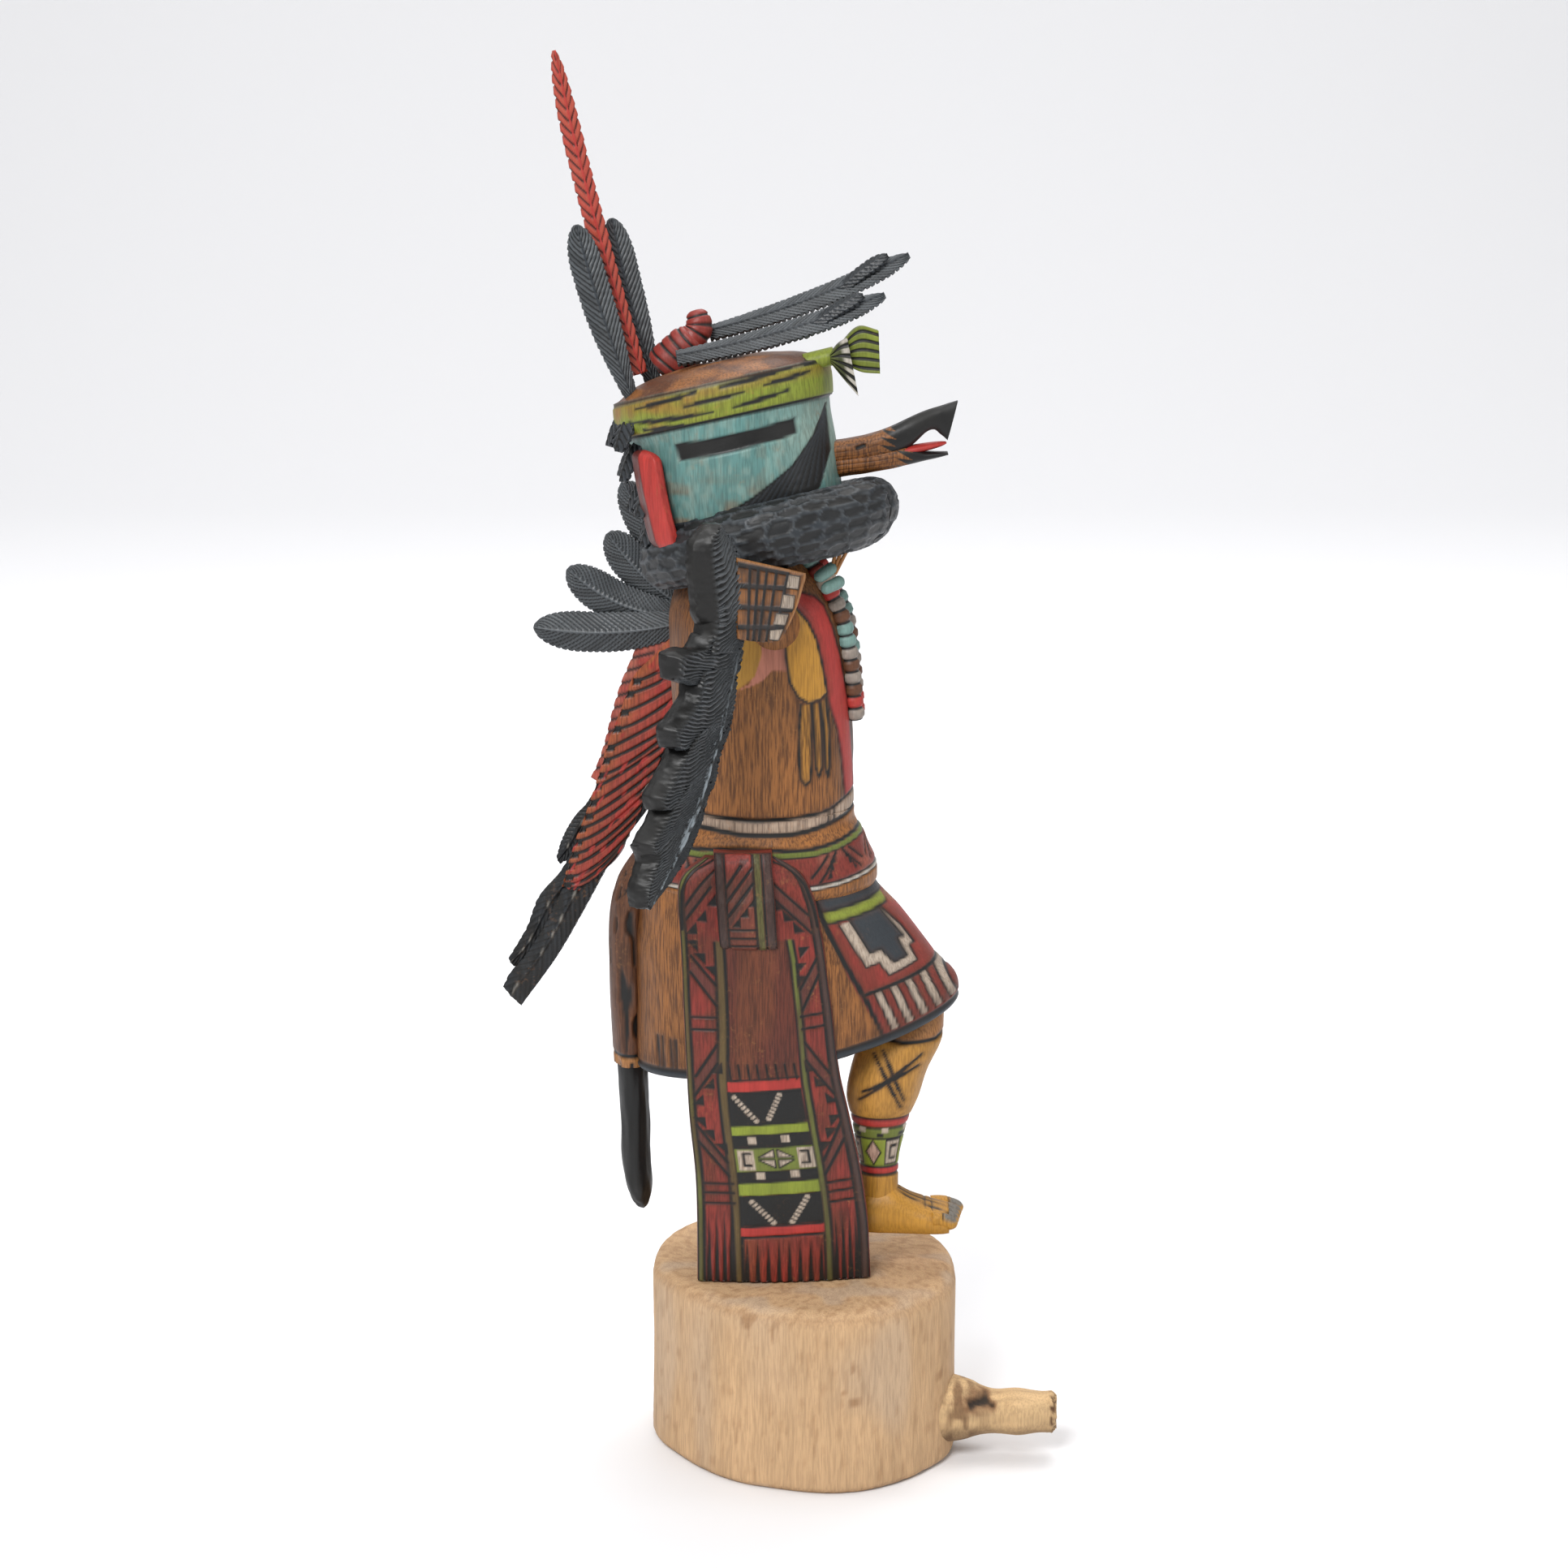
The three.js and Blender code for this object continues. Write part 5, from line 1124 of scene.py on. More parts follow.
def pelt_shells():
    paint, _, seed = tools()
    t = np.linspace(0, 1, 120)
    route = through([(-38, 8, 152), (-43.6, 8, 142), (-44.6, 8, 120), (-44.3, 8, 97)], t)
    shape = np.sin(t * 2.6)
    radii = joined(8.5 * mix(0.75, 1, shape), 5 * mix(0.8, 1.04, shape))
    pelt = Shell(rope_of(route, radii, 56, up=(-1, 0, 0)), paint["fur"], grain=0.7)
    p = pelt.points
    slots = noise(p, (1.3, 1.3, 9), seed + 21)
    pelt.cut += 0.7 * step(0.35, 0.6, slots)
    pelt.lay(step(0.35, 0.6, slots), paint["black"], grain=0.1)
    pelt.shade(0.25 * noise(p, (1.2, 1.2, 6), seed + 22))
    cuff = 1 - step(99.5, 100.5, p[..., 2])
    pelt.lay(cuff, paint["bare_wood"], grain=0.5)
    around = np.arctan2(p[..., 1] - 8, p[..., 0] + 44)
    ticks = np.clip((np.cos(around * 12) - 0.6) * 4, 0, 1) * band(p[..., 2], 95, 98.4)
    pelt.lay(ticks, paint["black"], cut=0.3)
    pelt.lay(band(p[..., 2], 99.4, 100.6), paint["black"], cut=0.4)
    t = np.linspace(0, 1, 80)
    route = through([(-44.3, 8, 99), (-43.8, 8, 84), (-43.4, 8, 70), (-42, 8, 57.5)], t)
    tip = np.sqrt(np.clip(1 - ((t - 0.75) / 0.25).clip(0)**2, 0.03, 1))
    radii = joined(4.75 * tip, 3.8 * mix(1, 0.92, t) * tip)
    tail = Shell(rope_of(route, radii, 36, up=(-1, 0, 0)), paint["black"], grain=0.1)
    hair = noise(tail.points, (0.8, 0.8, 8), seed + 23)
    tail.cut += 0.3 * hair
    tail.shade(0.8 * hair)
    return [pelt, tail]


# Ruff

def ruff_shell():
    paint, depth, seed = tools()
    around = turn_angles(280, 0.35)
    about = np.arange(96) / 96 * 2 * math.pi
    rows = 17
    place = around / (2 * math.pi) * 27
    field = joined(place[:, None], about * 2.7, 0)
    level = about[None, :] / (2 * math.pi) * rows + 0.3 * noise(field, (1.2, 1.4, 1), seed + 33)
    row = np.floor(level)
    cells = joined(row, row * 0, row * 0 + 3)
    stagger = place[:, None] + 0.5 * (row % 2) + 0.5 * lattice(cells, seed)
    stagger = stagger + 0.3 * noise(field, (0.9, 1.1, 1), seed + 32)
    column = np.floor(stagger)
    reach = (np.abs(stagger - column - 0.5) / 0.5)**2.6 + (np.abs(level - row - 0.5) / 0.46)**1.8
    pit = 1 - step(0.72, 1.0, reach)
    out = 23 + 8.6 * np.cos(about)[None, :]
    dx = out * np.cos(around)[:, None]
    dy = out * np.sin(around)[:, None] * 0.96
    z = 232.5 + 8.6 * np.sin(about)[None, :] + 0.22 * dx - 0.13 * dy
    points = joined(-9.5 + dx, BODY_Y + dy, z)
    ruff = Shell(points, paint["slate"], grain=0.1)
    cell = lattice(joined(column, row, 0), seed + 30)
    ruff.lay(0.5 * step(-0.2, 0.6, noise(points, (4, 4, 3), seed + 34)), paint["black"])
    # painted shade: the recessed pits of the scales are painted black
    ruff.lay(pit, paint["black"], grain=0.05)
    ruff.lay(0.35 * pit * cell, paint["slate"])
    # painted highlight: a thin ring of feather grey round each scale
    ruff.lay(0.45 * step(0.78, 0.98, reach) * (1 - step(1.02, 1.3, reach)), paint["vane"])
    ruff.cut += depth["scale_depth"] * pit * (0.6 + 0.4 * cell)
    ruff.chip(0.15, 3, seed + 31)
    return ruff


# Head

HEAD_LEAN = (0.22, -0.13)


def head_centre(up):
    return np.array([-14 - 0.22 * up, BODY_Y + 0.13 * up, 236 + up])


def mask_radius(up):
    return mix(22.3, 25.4, up / 33)


def head_ring(up, radius, angles):
    cx, cy, cz = head_centre(up)
    return oval(cx, cy, cz, radius, radius * 0.97, angles, HEAD_LEAN)


def mask_shell():
    paint, depth, seed = tools()
    line = depth["line_depth"]
    angles = turn_angles(220, 0.55)
    levels = [(-6, 19.3), (0, mask_radius(0)), (12, mask_radius(12) + 0.3), (24, mask_radius(24)),
              (24.3, mask_radius(24) + 0.9), (32.2, mask_radius(33) + 0.9), (32.9, mask_radius(33) + 0.7),
              (33.3, mask_radius(33) - 0.6), (35.5, 20.8), (37.3, 12.7), (38, 5.1), (38.1, 1)]
    rings = [head_ring(up, radius, angles) for up, radius in levels]
    mask = Shell(skin(rings, 140), paint["turquoise"], grain=0.35)
    p, flat, near = mask.points, mask.xz, mask.near
    mask.chip(depth["knife_work"], (6, 6, 8), seed + 40)
    lean = np.array([-0.22, 0.13, 1.0])
    up = ((p - head_centre(0)) @ lean) / (lean @ lean) * 1.0
    angle = np.arctan2(p[..., 1] - BODY_Y - 0.13 * up, p[..., 0] + 14 + 0.22 * up)
    mask.shade(0.18 * noise(p, (3, 3, 9), seed + 41))
    thin = step(-0.2, 0.5, noise(p, (6, 6, 3), seed + 42)) * (1 - step(240, 252, p[..., 2]))
    mask.lay(0.6 * thin, paint["body_brown"], grain=0.9)
    fine = step(-0.1, 0.6, noise(p, (1.2, 1.2, 1.6), seed + 44)) * step(-0.3, 0.5, noise(p, (9, 9, 7), seed + 45))
    mask.lay(0.22 * fine, mix(np.array(paint["body_brown"]), np.array(paint["turquoise"]), 0.3))
    mask.lay(0.25 * step(-0.2, 0.6, noise(p, (1.1, 1.1, 2.2), seed + 46)), paint["pale"])
    pale = step(-14, 4, p[..., 0]) * step(244, 256, p[..., 2])
    mask.lay(0.45 * pale, paint["pale"], grain=0.5)

    def mark(area, colour, cut=0.0, grain=0.2):
        mask.lay(area * near, paint[colour], grain=grain, cut=cut)

    triangle = [(4.3, 264.7), (1.3, 258.1), (-3.7, 251.6), (-12.6, 244.8), (-21.4, 239.3), (-7, 240.5), (2.8, 245.5),
                (5.5, 254)]
    mark(inside(flat, triangle), "black", 0.15, 0.1)
    for k in range(14):
        foot = mix(np.array([-20.5, 239.6]), np.array([3.6, 247.5]), k / 13)
        mark(stroke(flat, [(4.2, 264), tuple(foot)], 0.35) * inside(flat, triangle), "slate", 0.35)
    mark(stroke(flat, triangle[:5], 0.5), "black", line)
    mark(inside(flat, [(-32, 256.5), (-3, 262.8), (-2.6, 259), (-30.9, 252.5)]), "black", 0.8, 0.1)
    for low, high in ((23.9, 24.7), (32.1, 32.8)):
        mask.lay(band(up, low, high), paint["black"], cut=line)
    mask.lay(band(up, 24.7, 32.1), paint["lime"], grain=0.5)
    tint = (1 - step(-36, -14, p[..., 0])) * step(-0.5, 0.6, noise(p, (4, 4, 2.5), seed + 47))
    mask.lay(0.6 * tint * band(up, 24.7, 32.1), paint["roll"])
    mask.lay(0.4 * band(up, 29.5, 32.1, 2), paint["roll"])
    mask.lay(step(32.8, 33.1, up), paint["fur"], grain=0.7)
    mask.lay(0.7 * step(32.8, 33.1, up) * step(-0.2, 0.5, noise(p, (6, 4, 3), seed + 48)), paint["roll"])
    dashes = [((-41.2, 264.3), (-26.7, 269.5)), ((-29.4, 265.9), (-15.4, 269.5)), ((-20.9, 270.7), (-4.1, 274.7)),
              ((-17.7, 265.9), (-4.7, 269.5)), ((-42.9, 260.6), (-22.7, 264.8)), ((-39.3, 259.3), (-26.7, 261.8)),
              ((-10.4, 271.0), (0.3, 273.3)), ((-1.4, 275.2), (2.1, 275.2))]
    for a, b in dashes:
        mark(stroke(flat, [a, b], 0.75), "black", line)
        a, b = np.array(a), np.array(b)
        mark(stroke(flat, [mix(a, b, 0.2), mix(a, b, 0.75)], 1.2), "black", line)
    far = 1 - near
    for k in range(8):
        start = 0.3 + k * 0.42
        place = joined(angle * 24, up)
        height = 26.4 + 3.6 * (k % 2)
        mask.lay(stroke(place, [(start * 24 - 20, height), (start * 24 - 11, height + 2)], 0.8) * far,
                 paint["black"], cut=line)
    return mask


def crown_shells():
    """The leather knot on the crown and the short black feathers down the nape."""
    paint, _, seed = tools()
    foot = head_centre(38) + [-13, 0, -3.3]
    shells = []
    t = np.linspace(0, 1, 40)
    for stops, wide, deep in ((((0, 0, 0), (4, -0.5, 5), (8.5, -1, 9.5)), 5.9 - 1.4 * t, 4.6 - t),
                              (((5, -1, 6), (9, 0, 11.5), (8.2, 1, 15.5)), 4 - 1.2 * t, 3.4 - 1.2 * t)):
        route = through([foot + np.array(stop, float) for stop in stops], t)
        ends = np.sqrt(np.clip(1 - (np.abs(t - 0.5) * 2)**6, 0.06, 1))
        radii = joined(wide * ends, deep * ends)
        knot = Shell(rope_of(route, radii, 24, up=(0, 1, 0)), linear("842c24"), grain=0.3)
        stripes = np.clip(np.sin(t[:, None] * 32) * 3 - 1.4, 0, 1)
        knot.lay(stripes, paint["black"], cut=0.3)
        knot.chip(0.2, 2.5, seed + 50)
        shells.append(knot)
    for k in range(4):
        up = 29 - k * 8
        for turn in (-0.36, 0, 0.36):
            out = mask_radius(max(up, 0)) + 0.2
            angle = math.pi + turn + 0.08 * (1 if k % 2 == 0 else -1)
            away = np.array([math.cos(angle), math.sin(angle), 0])
            start = head_centre(up) + away * (out - 2) + [0, 0, -0.22 * out + 4]
            end = head_centre(up) + away * (out + 2.6) + [0, 0, -0.22 * out - 6]
            shells.append(feather_shell(start, mix(start, end, 0.5) + away, end, 9, 2.6, away, 0.8, paint["black"],
                                        paint["slate"], rows=30, across=16, barbs=6))
    return shells


# Feathers

ROUND_TIP = 0.28


def vane_share(t, root):
    """Share of the full width along a feather, with ROUND_TIP of its length rounded."""
    body = mix(root, 1, np.sin(np.minimum(t / 0.55, 1) * math.pi / 2))
    return body * np.sqrt(np.maximum(0.02, 1 - np.maximum(0, (t - 1 + ROUND_TIP) / ROUND_TIP)**2))


def feather_shell(a, b, c, width, thickness, face, root, colour, lit, rows=150, across=40, barbs=26, slant=1.4,
                  rib="black", saw=0.0):
    """A carved feather: a raised rib, slanting cuts between the barbs and, with saw, a notched edge."""
    paint, depth, seed = tools()
    t = np.linspace(0, 1, rows)
    a, b, c, face = (np.asarray(v, float) for v in (a, b, c, face))
    middle = bent(a, b, c, t)
    along = np.gradient(middle, axis=0)
    along /= np.linalg.norm(along, axis=1, keepdims=True)
    side = np.cross(face, along)
    side /= np.linalg.norm(side, axis=1, keepdims=True)
    front = np.cross(along, side)
    half = 0.5 * width * vane_share(t, root)
    u, way = loop_section(across, 3)
    run = t[:, None] * barbs - slant * np.abs(u)[None, :]
    saw_tooth = 1 - saw * (run - np.floor(run)) * np.clip((np.abs(u) - 0.5) * 2, 0, 1)
    deep = 0.5 * thickness * mix(1, 0.7, t)
    profile = 1 - 0.62 * np.abs(u)**1.3
    across_by = side[:, None] * (half[:, None] * u * saw_tooth)[..., None]
    points = middle[:, None] + across_by + front[:, None] * (deep[:, None] * profile * way)[..., None]
    made = Shell(points, colour, grain=0.15)
    notch = comb(run, 0.34, 0.1)
    rib_line = np.clip((0.09 - np.abs(u)) / 0.03, 0, 1)
    shade = lattice(joined(np.floor(run), np.sign(u) + 2, 1), seed + 3)
    made.lay((0.55 + 0.45 * shade) * (1 - notch) * (1 - rib_line), lit)
    made.lay(notch * (1 - rib_line), paint["black"])
    made.cut += depth["barb_depth"] * notch * (1 - rib_line) * min(1.0, width / 6)
    made.cut -= 0.3 * rib_line
    made.lay(rib_line, paint[rib])
    made.chip(0.06, 2.0, seed + 5)
    return made


def tall_feather_shells():
    paint, _, _ = tools()
    root = np.array([-40.6, 7, 271])
    reach = np.array([-19.6, 1.5, 75.5])
    tip = root + reach / np.linalg.norm(reach) * 79
    return [feather_shell(root, mix(root, tip, 0.5) + [-2.6, 0, 0], tip, 5.2, 3.4, (0.3, -1, 0), 0.75, paint["red"],
                          paint["orange"], rows=180, across=20, barbs=27, slant=1.3, rib="red", saw=0.12)]


def upright_feather_shell(y, root_x, lean):
    paint, _, _ = tools()
    root = np.array([root_x, y, 266])
    reach = np.array([lean, 0, 40.0])
    tip = root + reach / np.linalg.norm(reach) * 43
    return feather_shell(root, mix(root, tip, 0.5) + [-2, 0, 2], tip, 8.4, 2.6, (0.2, -1, 0), 0.4, paint["black"],
                         paint["vane"], rows=150, across=34, barbs=26, slant=3.4, rib="slate", saw=0.1)


def plume_shells(root, rise, side):
    paint, _, _ = tools()
    root = np.asarray(root, float)
    reach = np.array([48, side, rise], float)
    tip = root + reach / np.linalg.norm(reach) * 52
    middle = mix(root, tip, 0.55) + [0, 0, -3.4]
    face = (-0.1, -0.72, 0.7)
    long = feather_shell(root, middle, tip, 6.4, 3, face, 0.7, paint["black"], paint["vane"], rows=190, across=26,
                         barbs=36, slant=3.6, rib="slate", saw=0.08)
    fork_root = mix(root, middle, 1.1)
    fork_tip = tip + [-5.2, -1.6, 0.2]
    fork = feather_shell(fork_root, mix(fork_root, fork_tip, 0.5) + [-0.6, 0, 1.4], fork_tip, 3.84, 2.4, face, 0.6,
                         paint["black"], paint["slate"], rows=60, across=14, barbs=12, slant=2, rib="slate")
    return [long, fork]


# Beak, ears and bow

def chain(points, steps):
    return through(points, np.linspace(0, 1, steps))


def beak_shells():
    paint, _, seed = tools()

    upper = [(2.5, 255.2), (6.6, 255.4), (17.1, 257.5), (28.2, 262.4), (36, 264.9)]
    upper_low = [(2.5, 249), (16, 251), (23.8, 253.5), (30.3, 258.1), (32, 256.8), (33.6, 255.4)]
    lower = [(2.5, 252), (17, 253), (23.8, 253.9), (29, 252.6), (33.7, 252.6)]
    lower_low = [(2.5, 245), (7.3, 246.5), (14.3, 247.6), (25.5, 249.8), (33.9, 251.9)]
    shells = []
    for top, low, start in ((upper, upper_low, 17.0), (lower, lower_low, 21.0)):
        rows = 100
        t = np.linspace(0, 1, rows)
        top, low = (np.insert(chain(edge, rows), 1, 3.0, axis=1) for edge in (top, low))
        points, u = strip(low, top, 8.1 * mix(1.0, 0.48, t), (0, -1, 0), 34)
        points[..., 1] = 3.0 + (points[..., 1] - 3.0) * (1 - 0.5 * np.abs(u)**3)
        jaw = Shell(points, mix(np.array(paint["roll"]), np.array(paint["fur"]), 0.4), grain=0.9)
        jaw.shade(0.2 * noise(points, (5, 1.5, 1), seed + 61))
        tooth = points[..., 2] * 0.55 + 0.2 * points[..., 0]
        edge = start + 4.2 * np.abs(tooth - np.floor(tooth) - 0.5) * 2
        jaw.lay(step(-0.2, 0.3, points[..., 0] - edge), paint["black"], grain=0.1)
        groove = np.clip((np.abs(np.sin((u + 1) * 7)) - 0.88) * 8, 0, 1)
        jaw.lay(groove * 0.6 * (1 - step(0, 1, points[..., 0] - start)), BURNT, cut=0.2)
        jaw.chip(0.12, (4, 2, 2), seed + 60)
        shells.append(jaw)
    shells[0].score(shells[0].xz, [(11.8, 253.9), (13.4, 254.5)], 1.0, paint["black"], 0.5)
    t = np.linspace(0, 1, 50)
    route = bent((22, 3, 252.6), (29, 3, 253.8), (33.4, 3, 254.8), t)
    radii = joined(2.4 * np.sqrt(1.04 - t**2), 1.1 * np.sqrt(1.04 - t**2))
    shells.append(Shell(rope_of(route, radii, 24), paint["red"], grain=0.2))
    return shells


def ear_shells(sign):
    """A blunt two-faced slip, red towards the front and darker behind."""
    paint, _, seed = tools()
    angle = sign * 2.5

    def place(centre, out):
        return centre + np.array([math.cos(angle) * out, math.sin(angle) * out, 0.22 * math.cos(angle) * out])

    start = place(head_centre(23), mask_radius(22) + 0.7)
    finish = place(head_centre(-1), mask_radius(0) + 2.9)
    reach = finish - start
    end = start + reach / np.linalg.norm(reach) * 25
    away = np.array([math.cos(angle), math.sin(angle), 0])
    t = np.linspace(0, 1, 70)
    middle = bent(start, mix(start, end, 0.5) + away * 1.2, end, t)
    side = np.array([-math.sin(angle), math.cos(angle), 0]) * sign
    ends = np.sqrt(np.clip(1 - ((0.1 - t) / 0.1).clip(0)**2, 0.04, 1)) * np.sqrt(
        np.clip(1 - ((t - 0.88) / 0.12).clip(0)**2, 0.04, 1))
    half = ends * mix(5.0, 5.6, t)
    u, way = loop_section(30, 3)
    profile = np.where(u < 0.05, 1 - 0.5 * np.abs(u - 0.05), 1 - 0.75 * np.abs(u - 0.05))
    points = middle[:, None] + side * (half[:, None] * u)[..., None]
    points = points + away * (ends[:, None] * 2.1 * profile * way)[..., None]
    ear = Shell(points, paint["red"], grain=0.3)
    ear.lay(step(-0.05, 0.08, u), linear("5c1f1a"), grain=0.6)
    ear.shade(0.2 * noise(points, (1.5, 1.5, 6), seed + 66))
    ear.chip(0.1, (3, 3, 5), seed + 67)
    return [ear]


def bow_shells():
    paint, _, seed = tools()
    knot = np.array([4.4, -1, 276])
    shells = []
    fans = [([(0.6, 0.8), (3, 3.6), (4.7, 4.6)], [(0.8, -1.2), (3.4, -4.4), (7.4, -9)], 0, "green"),
            ([(2, 1.4), (8.4, 7.2), (12.2, 6.2)], [(3, -1), (8, -3.6), (12.6, -4)], 1, "lime")]
    for top, low, k, colour in fans:
        rows = 64
        high, under = chain(top, rows), chain(low, rows)

        def lift(edge):
            return np.column_stack([knot[0] + edge[:, 0], knot[1] - 1.8 + 3.6 * k - 0.1 * edge[:, 0],
                                    knot[2] + edge[:, 1]])

        points, u = strip(lift(under), lift(high), 2.6, (0.1, -1, 0), 70)
        fan = Shell(points, paint[colour], grain=0.3)
        fan.shade(-0.45 + 0.2 * k + 0.2 * noise(points, 2.0, seed + 68))
        wave = np.cos((u + 1) * 15.7)
        fan.cut += 0.35 * np.clip(-wave, 0, 1)
        fan.lay(np.clip(-wave * 3 - 0.6, 0, 1), paint["black"])
        edge = np.linspace(0, 1, rows)[:, None]
        if k == 0:
            fan.lay(0.45 * step(0.1, 0.5, edge), paint["black"])
            fan.lay(0.9 * step(0.55, 0.8, edge) * np.clip(wave * 2 + 0.3, 0, 1), paint["ivory"])
        shells.append(fan)
    t = np.linspace(0, 1, 30)[:, None]
    route = mix(np.array([-1, -1, 274.5]), np.array([6.2, -0.6, 276.2]), t)
    shells.append(Shell(rope_of(route, np.tile([2.6, 2.2], (30, 1)), 30), paint["lime"], grain=0.4))
    return shells


# Wings

def left_wing_place(x, z, out=0.0):
    x, z = np.asarray(x, float), np.asarray(z, float)
    return joined(x, BODY_Y + 16 + 0.15 * (-20 - x) + out, z)


def left_wing_shells():
    paint, depth, seed = tools()
    face = np.array([-0.15, -1, 0]) / math.hypot(0.15, 1)
    line, ink = depth["line_depth"], paint["black"]
    shells = []

    def sheet_of(one_edge, other_edge, out, thickness, rows, across, colour):
        one, other = chain(one_edge, rows), chain(other_edge, rows)
        points, u = strip(left_wing_place(one[:, 0], one[:, 1], out),
                          left_wing_place(other[:, 0], other[:, 1], out), thickness, face, across, dome=0.25)
        return Shell(points, colour, grain=0.5), u

    back, _ = sheet_of(
        [(-36, 209), (-41.5, 202.3), (-44.3, 196.1), (-46.8, 190.3), (-49.2, 182.6), (-51.2, 174.8), (-53.1, 169),
         (-54.9, 165.2)],
        [(-26, 206), (-32, 196), (-36, 190), (-40, 182), (-43, 176), (-46, 171), (-49, 166), (-51.5, 163.5)],
        6.6, 3.4, 90, 32, paint["red"])
    flat = back.xz
    # painted highlight: this board's face, turned to the light, is bright red with pink laid over it, lighter than
    # the lined red board
    back.lay(0.45 + 0.3 * noise(back.points, (2, 2, 4), seed + 64), paint["pink"])
    for k in range(12):
        x, z = -39.5 - 1.35 * k, 203.5 - 3.3 * k
        back.score(flat, [(x - 5, z - 1.3), (x + 3.4, z + 1.2)], 0.7, ink, line)
    shells.append(back)
    lined, u = sheet_of(
        [(-27, 213), (-32.1, 205), (-37.8, 198.3), (-43.4, 192.4), (-46.8, 183.7), (-50.2, 175), (-53.2, 165.2),
         (-56.1, 156.4), (-59.1, 148.5), (-62.6, 136.6)],
        [(-22, 214), (-28.4, 206.1), (-30.3, 189.9), (-33.2, 182.2), (-35.6, 174.5), (-39, 165.7), (-41.9, 157.9),
         (-45.3, 150), (-48.7, 144), (-58.5, 135.3)],
        4.5, 3.4, 220, 88, paint["covert_red"])
    flat = lined.xz
    lined.shade(0.22 * noise(lined.points, (1.4, 1.4, 3), seed + 61))
    lined.lay(0.5 * (1 - step(-0.9, -0.1, u)), paint["roll"], grain=0.8)
    cuts = [(-43.0, 191.0, -36.9, 194.0, -30.2, 198.9), (-44.9, 187.6, -36.9, 191.2, -29.0, 196.4),
            (-46.3, 182.8, -38.8, 186.6, -29.8, 192.6), (-48.3, 178.4, -41.7, 181.2, -30.8, 188.9),
            (-50.0, 173.5, -41.7, 178.1, -32.2, 183.9), (-51.2, 170.1, -43.6, 173.9, -33.2, 180.3),
            (-52.2, 166.2, -44.6, 170.3, -34.6, 177.9), (-53.4, 163.3, -46.5, 167.4, -35.1, 175.5),
            (-54.7, 158.9, -47.5, 163.5, -36.0, 172.6), (-55.6, 155.4, -48.5, 160.1, -37.5, 168.7),
            (-57.6, 152.0, -49.5, 156.6, -38.5, 165.7), (-58.6, 148.5, -50.5, 153.2, -39.9, 162.8),
            (-59.6, 145.1, -51.4, 149.8, -40.9, 159.9), (-60.6, 142.1, -52.4, 146.8, -41.8, 156.9),
            (-61.1, 139.1, -53.4, 142.9, -43.3, 153.0), (-61.6, 137.1, -54.4, 140.4, -44.7, 151.0),
            (-59.7, 135.9, -53.5, 139.4, -45.7, 149.0)]
    for row in cuts:
        a, b, c = np.array(row[:2]), np.array(row[2:4]), np.array(row[4:])
        curve = bent(a + 0.07 * (b - a), 2 * b - (a + c) / 2, c, np.linspace(0, 1, 7))
        lined.score(flat, curve, 0.8, ink, 1.4 * line)
        lined.lay(inside(flat, [a + [-1, -1.1], a + [1.2, -0.7], a + [1.0, 0.9], a + [-1, 0.6]]), ink, cut=0.5)
    sheared = joined(flat[..., 0] - 0.55 * flat[..., 1], flat[..., 1], 0 * flat[..., 0])
    lined.lay(0.8 * step(0.35, 0.7, noise(sheared, (1.2, 3, 1), seed + 62)), paint["red"])
    shells.append(lined)
    arm, _ = sheet_of([(-2, 217), (-18, 219), (-28, 213), (-30, 205)],
                      [(-2, 208), (-12, 202), (-22, 196), (-30, 200)], 8.6, 4.4, 30, 16, paint["body_brown"])
    shells.append(arm)
    tails = [([(-34, 178), (-45, 165), (-58.3, 148.9), (-63.2, 139.8), (-69, 132.7), (-72.1, 124.7), (-77.1, 116)],
              [(-30, 175), (-42, 158), (-53, 146), (-58, 137.5), (-65.5, 125), (-71, 117), (-75.6, 113.8)], 7.2),
             ([(-36, 176), (-48, 158), (-62.2, 136.2), (-67.2, 126.1), (-72.1, 118), (-77.1, 111.8),
               (-78.5, 108.7)],
              [(-30, 172), (-40, 158), (-48.7, 145.6), (-51.6, 140.6), (-57.5, 129.5), (-64.4, 117.3),
               (-73.8, 103.8)], 5.6),
             ([(-44, 178), (-52, 165), (-56.8, 157), (-59.2, 154.4), (-62.6, 148.4), (-64.2, 143.4)],
              [(-40, 174), (-48, 162), (-53, 155), (-55.8, 149.6), (-58.6, 144.6), (-63.2, 141.4)], 8.6)]
    for one, other, out in tails:
        tail, u = sheet_of(one, other, out, 3.4, 150, 30, paint["black"])
        share = np.linspace(0, 1, 150)[:, None]
        barb = share * 32 - 2.2 * np.abs(u)[None, :]
        slits = comb(barb, 0.3, 0.12)
        tail.lay(0.6 * (1 - slits) * step(-0.6, 0.6, noise(tail.points, (1, 1, 4), seed + 63)), paint["slate"])
        tail.cut += 0.25 * slits * np.clip(np.abs(u) * 4, 0, 1)
        ridge = np.exp(-(((u + 0.1) / 0.12)**2))
        tail.cut -= 0.5 * ridge
        tail.lay(0.45 * ridge * step(-0.1, 0.6, noise(tail.points, (0.6, 0.6, 4), seed + 65)), paint["ivory"])
        shells.append(tail)
    rows = [(-29, 207, -48, 201, -69, 204, 10.5, 4.6), (-29, 208, -46, 206, -60.2, 219, 10.5, 6),
            (-29, 209, -40, 214, -50, 228, 10.5, 7.4), (-30, 212, -38, 224, -46, 241, 9.45, 8.8)]
    # the shoulder feathers' raised ribs take the feather grey, a painted highlight
    for x0, z0, x1, z1, x2, z2, width, out in rows:
        shells.append(feather_shell(left_wing_place(x0, z0, out), left_wing_place(x1, z1, out),
                                    left_wing_place(x2, z2, out), width, 3.2, (-0.15, -1, 0), 0.5, paint["black"],
                                    paint["vane"], rows=130, across=32, barbs=26, slant=4.6, rib="vane", saw=0.03))
    return shells


WING_OUT = np.array([-0.6, -0.8, 0])
WING_FACE = np.array([0.8, -0.6, 0])
WING_ROOT = np.array([-8, -21.4, 214])


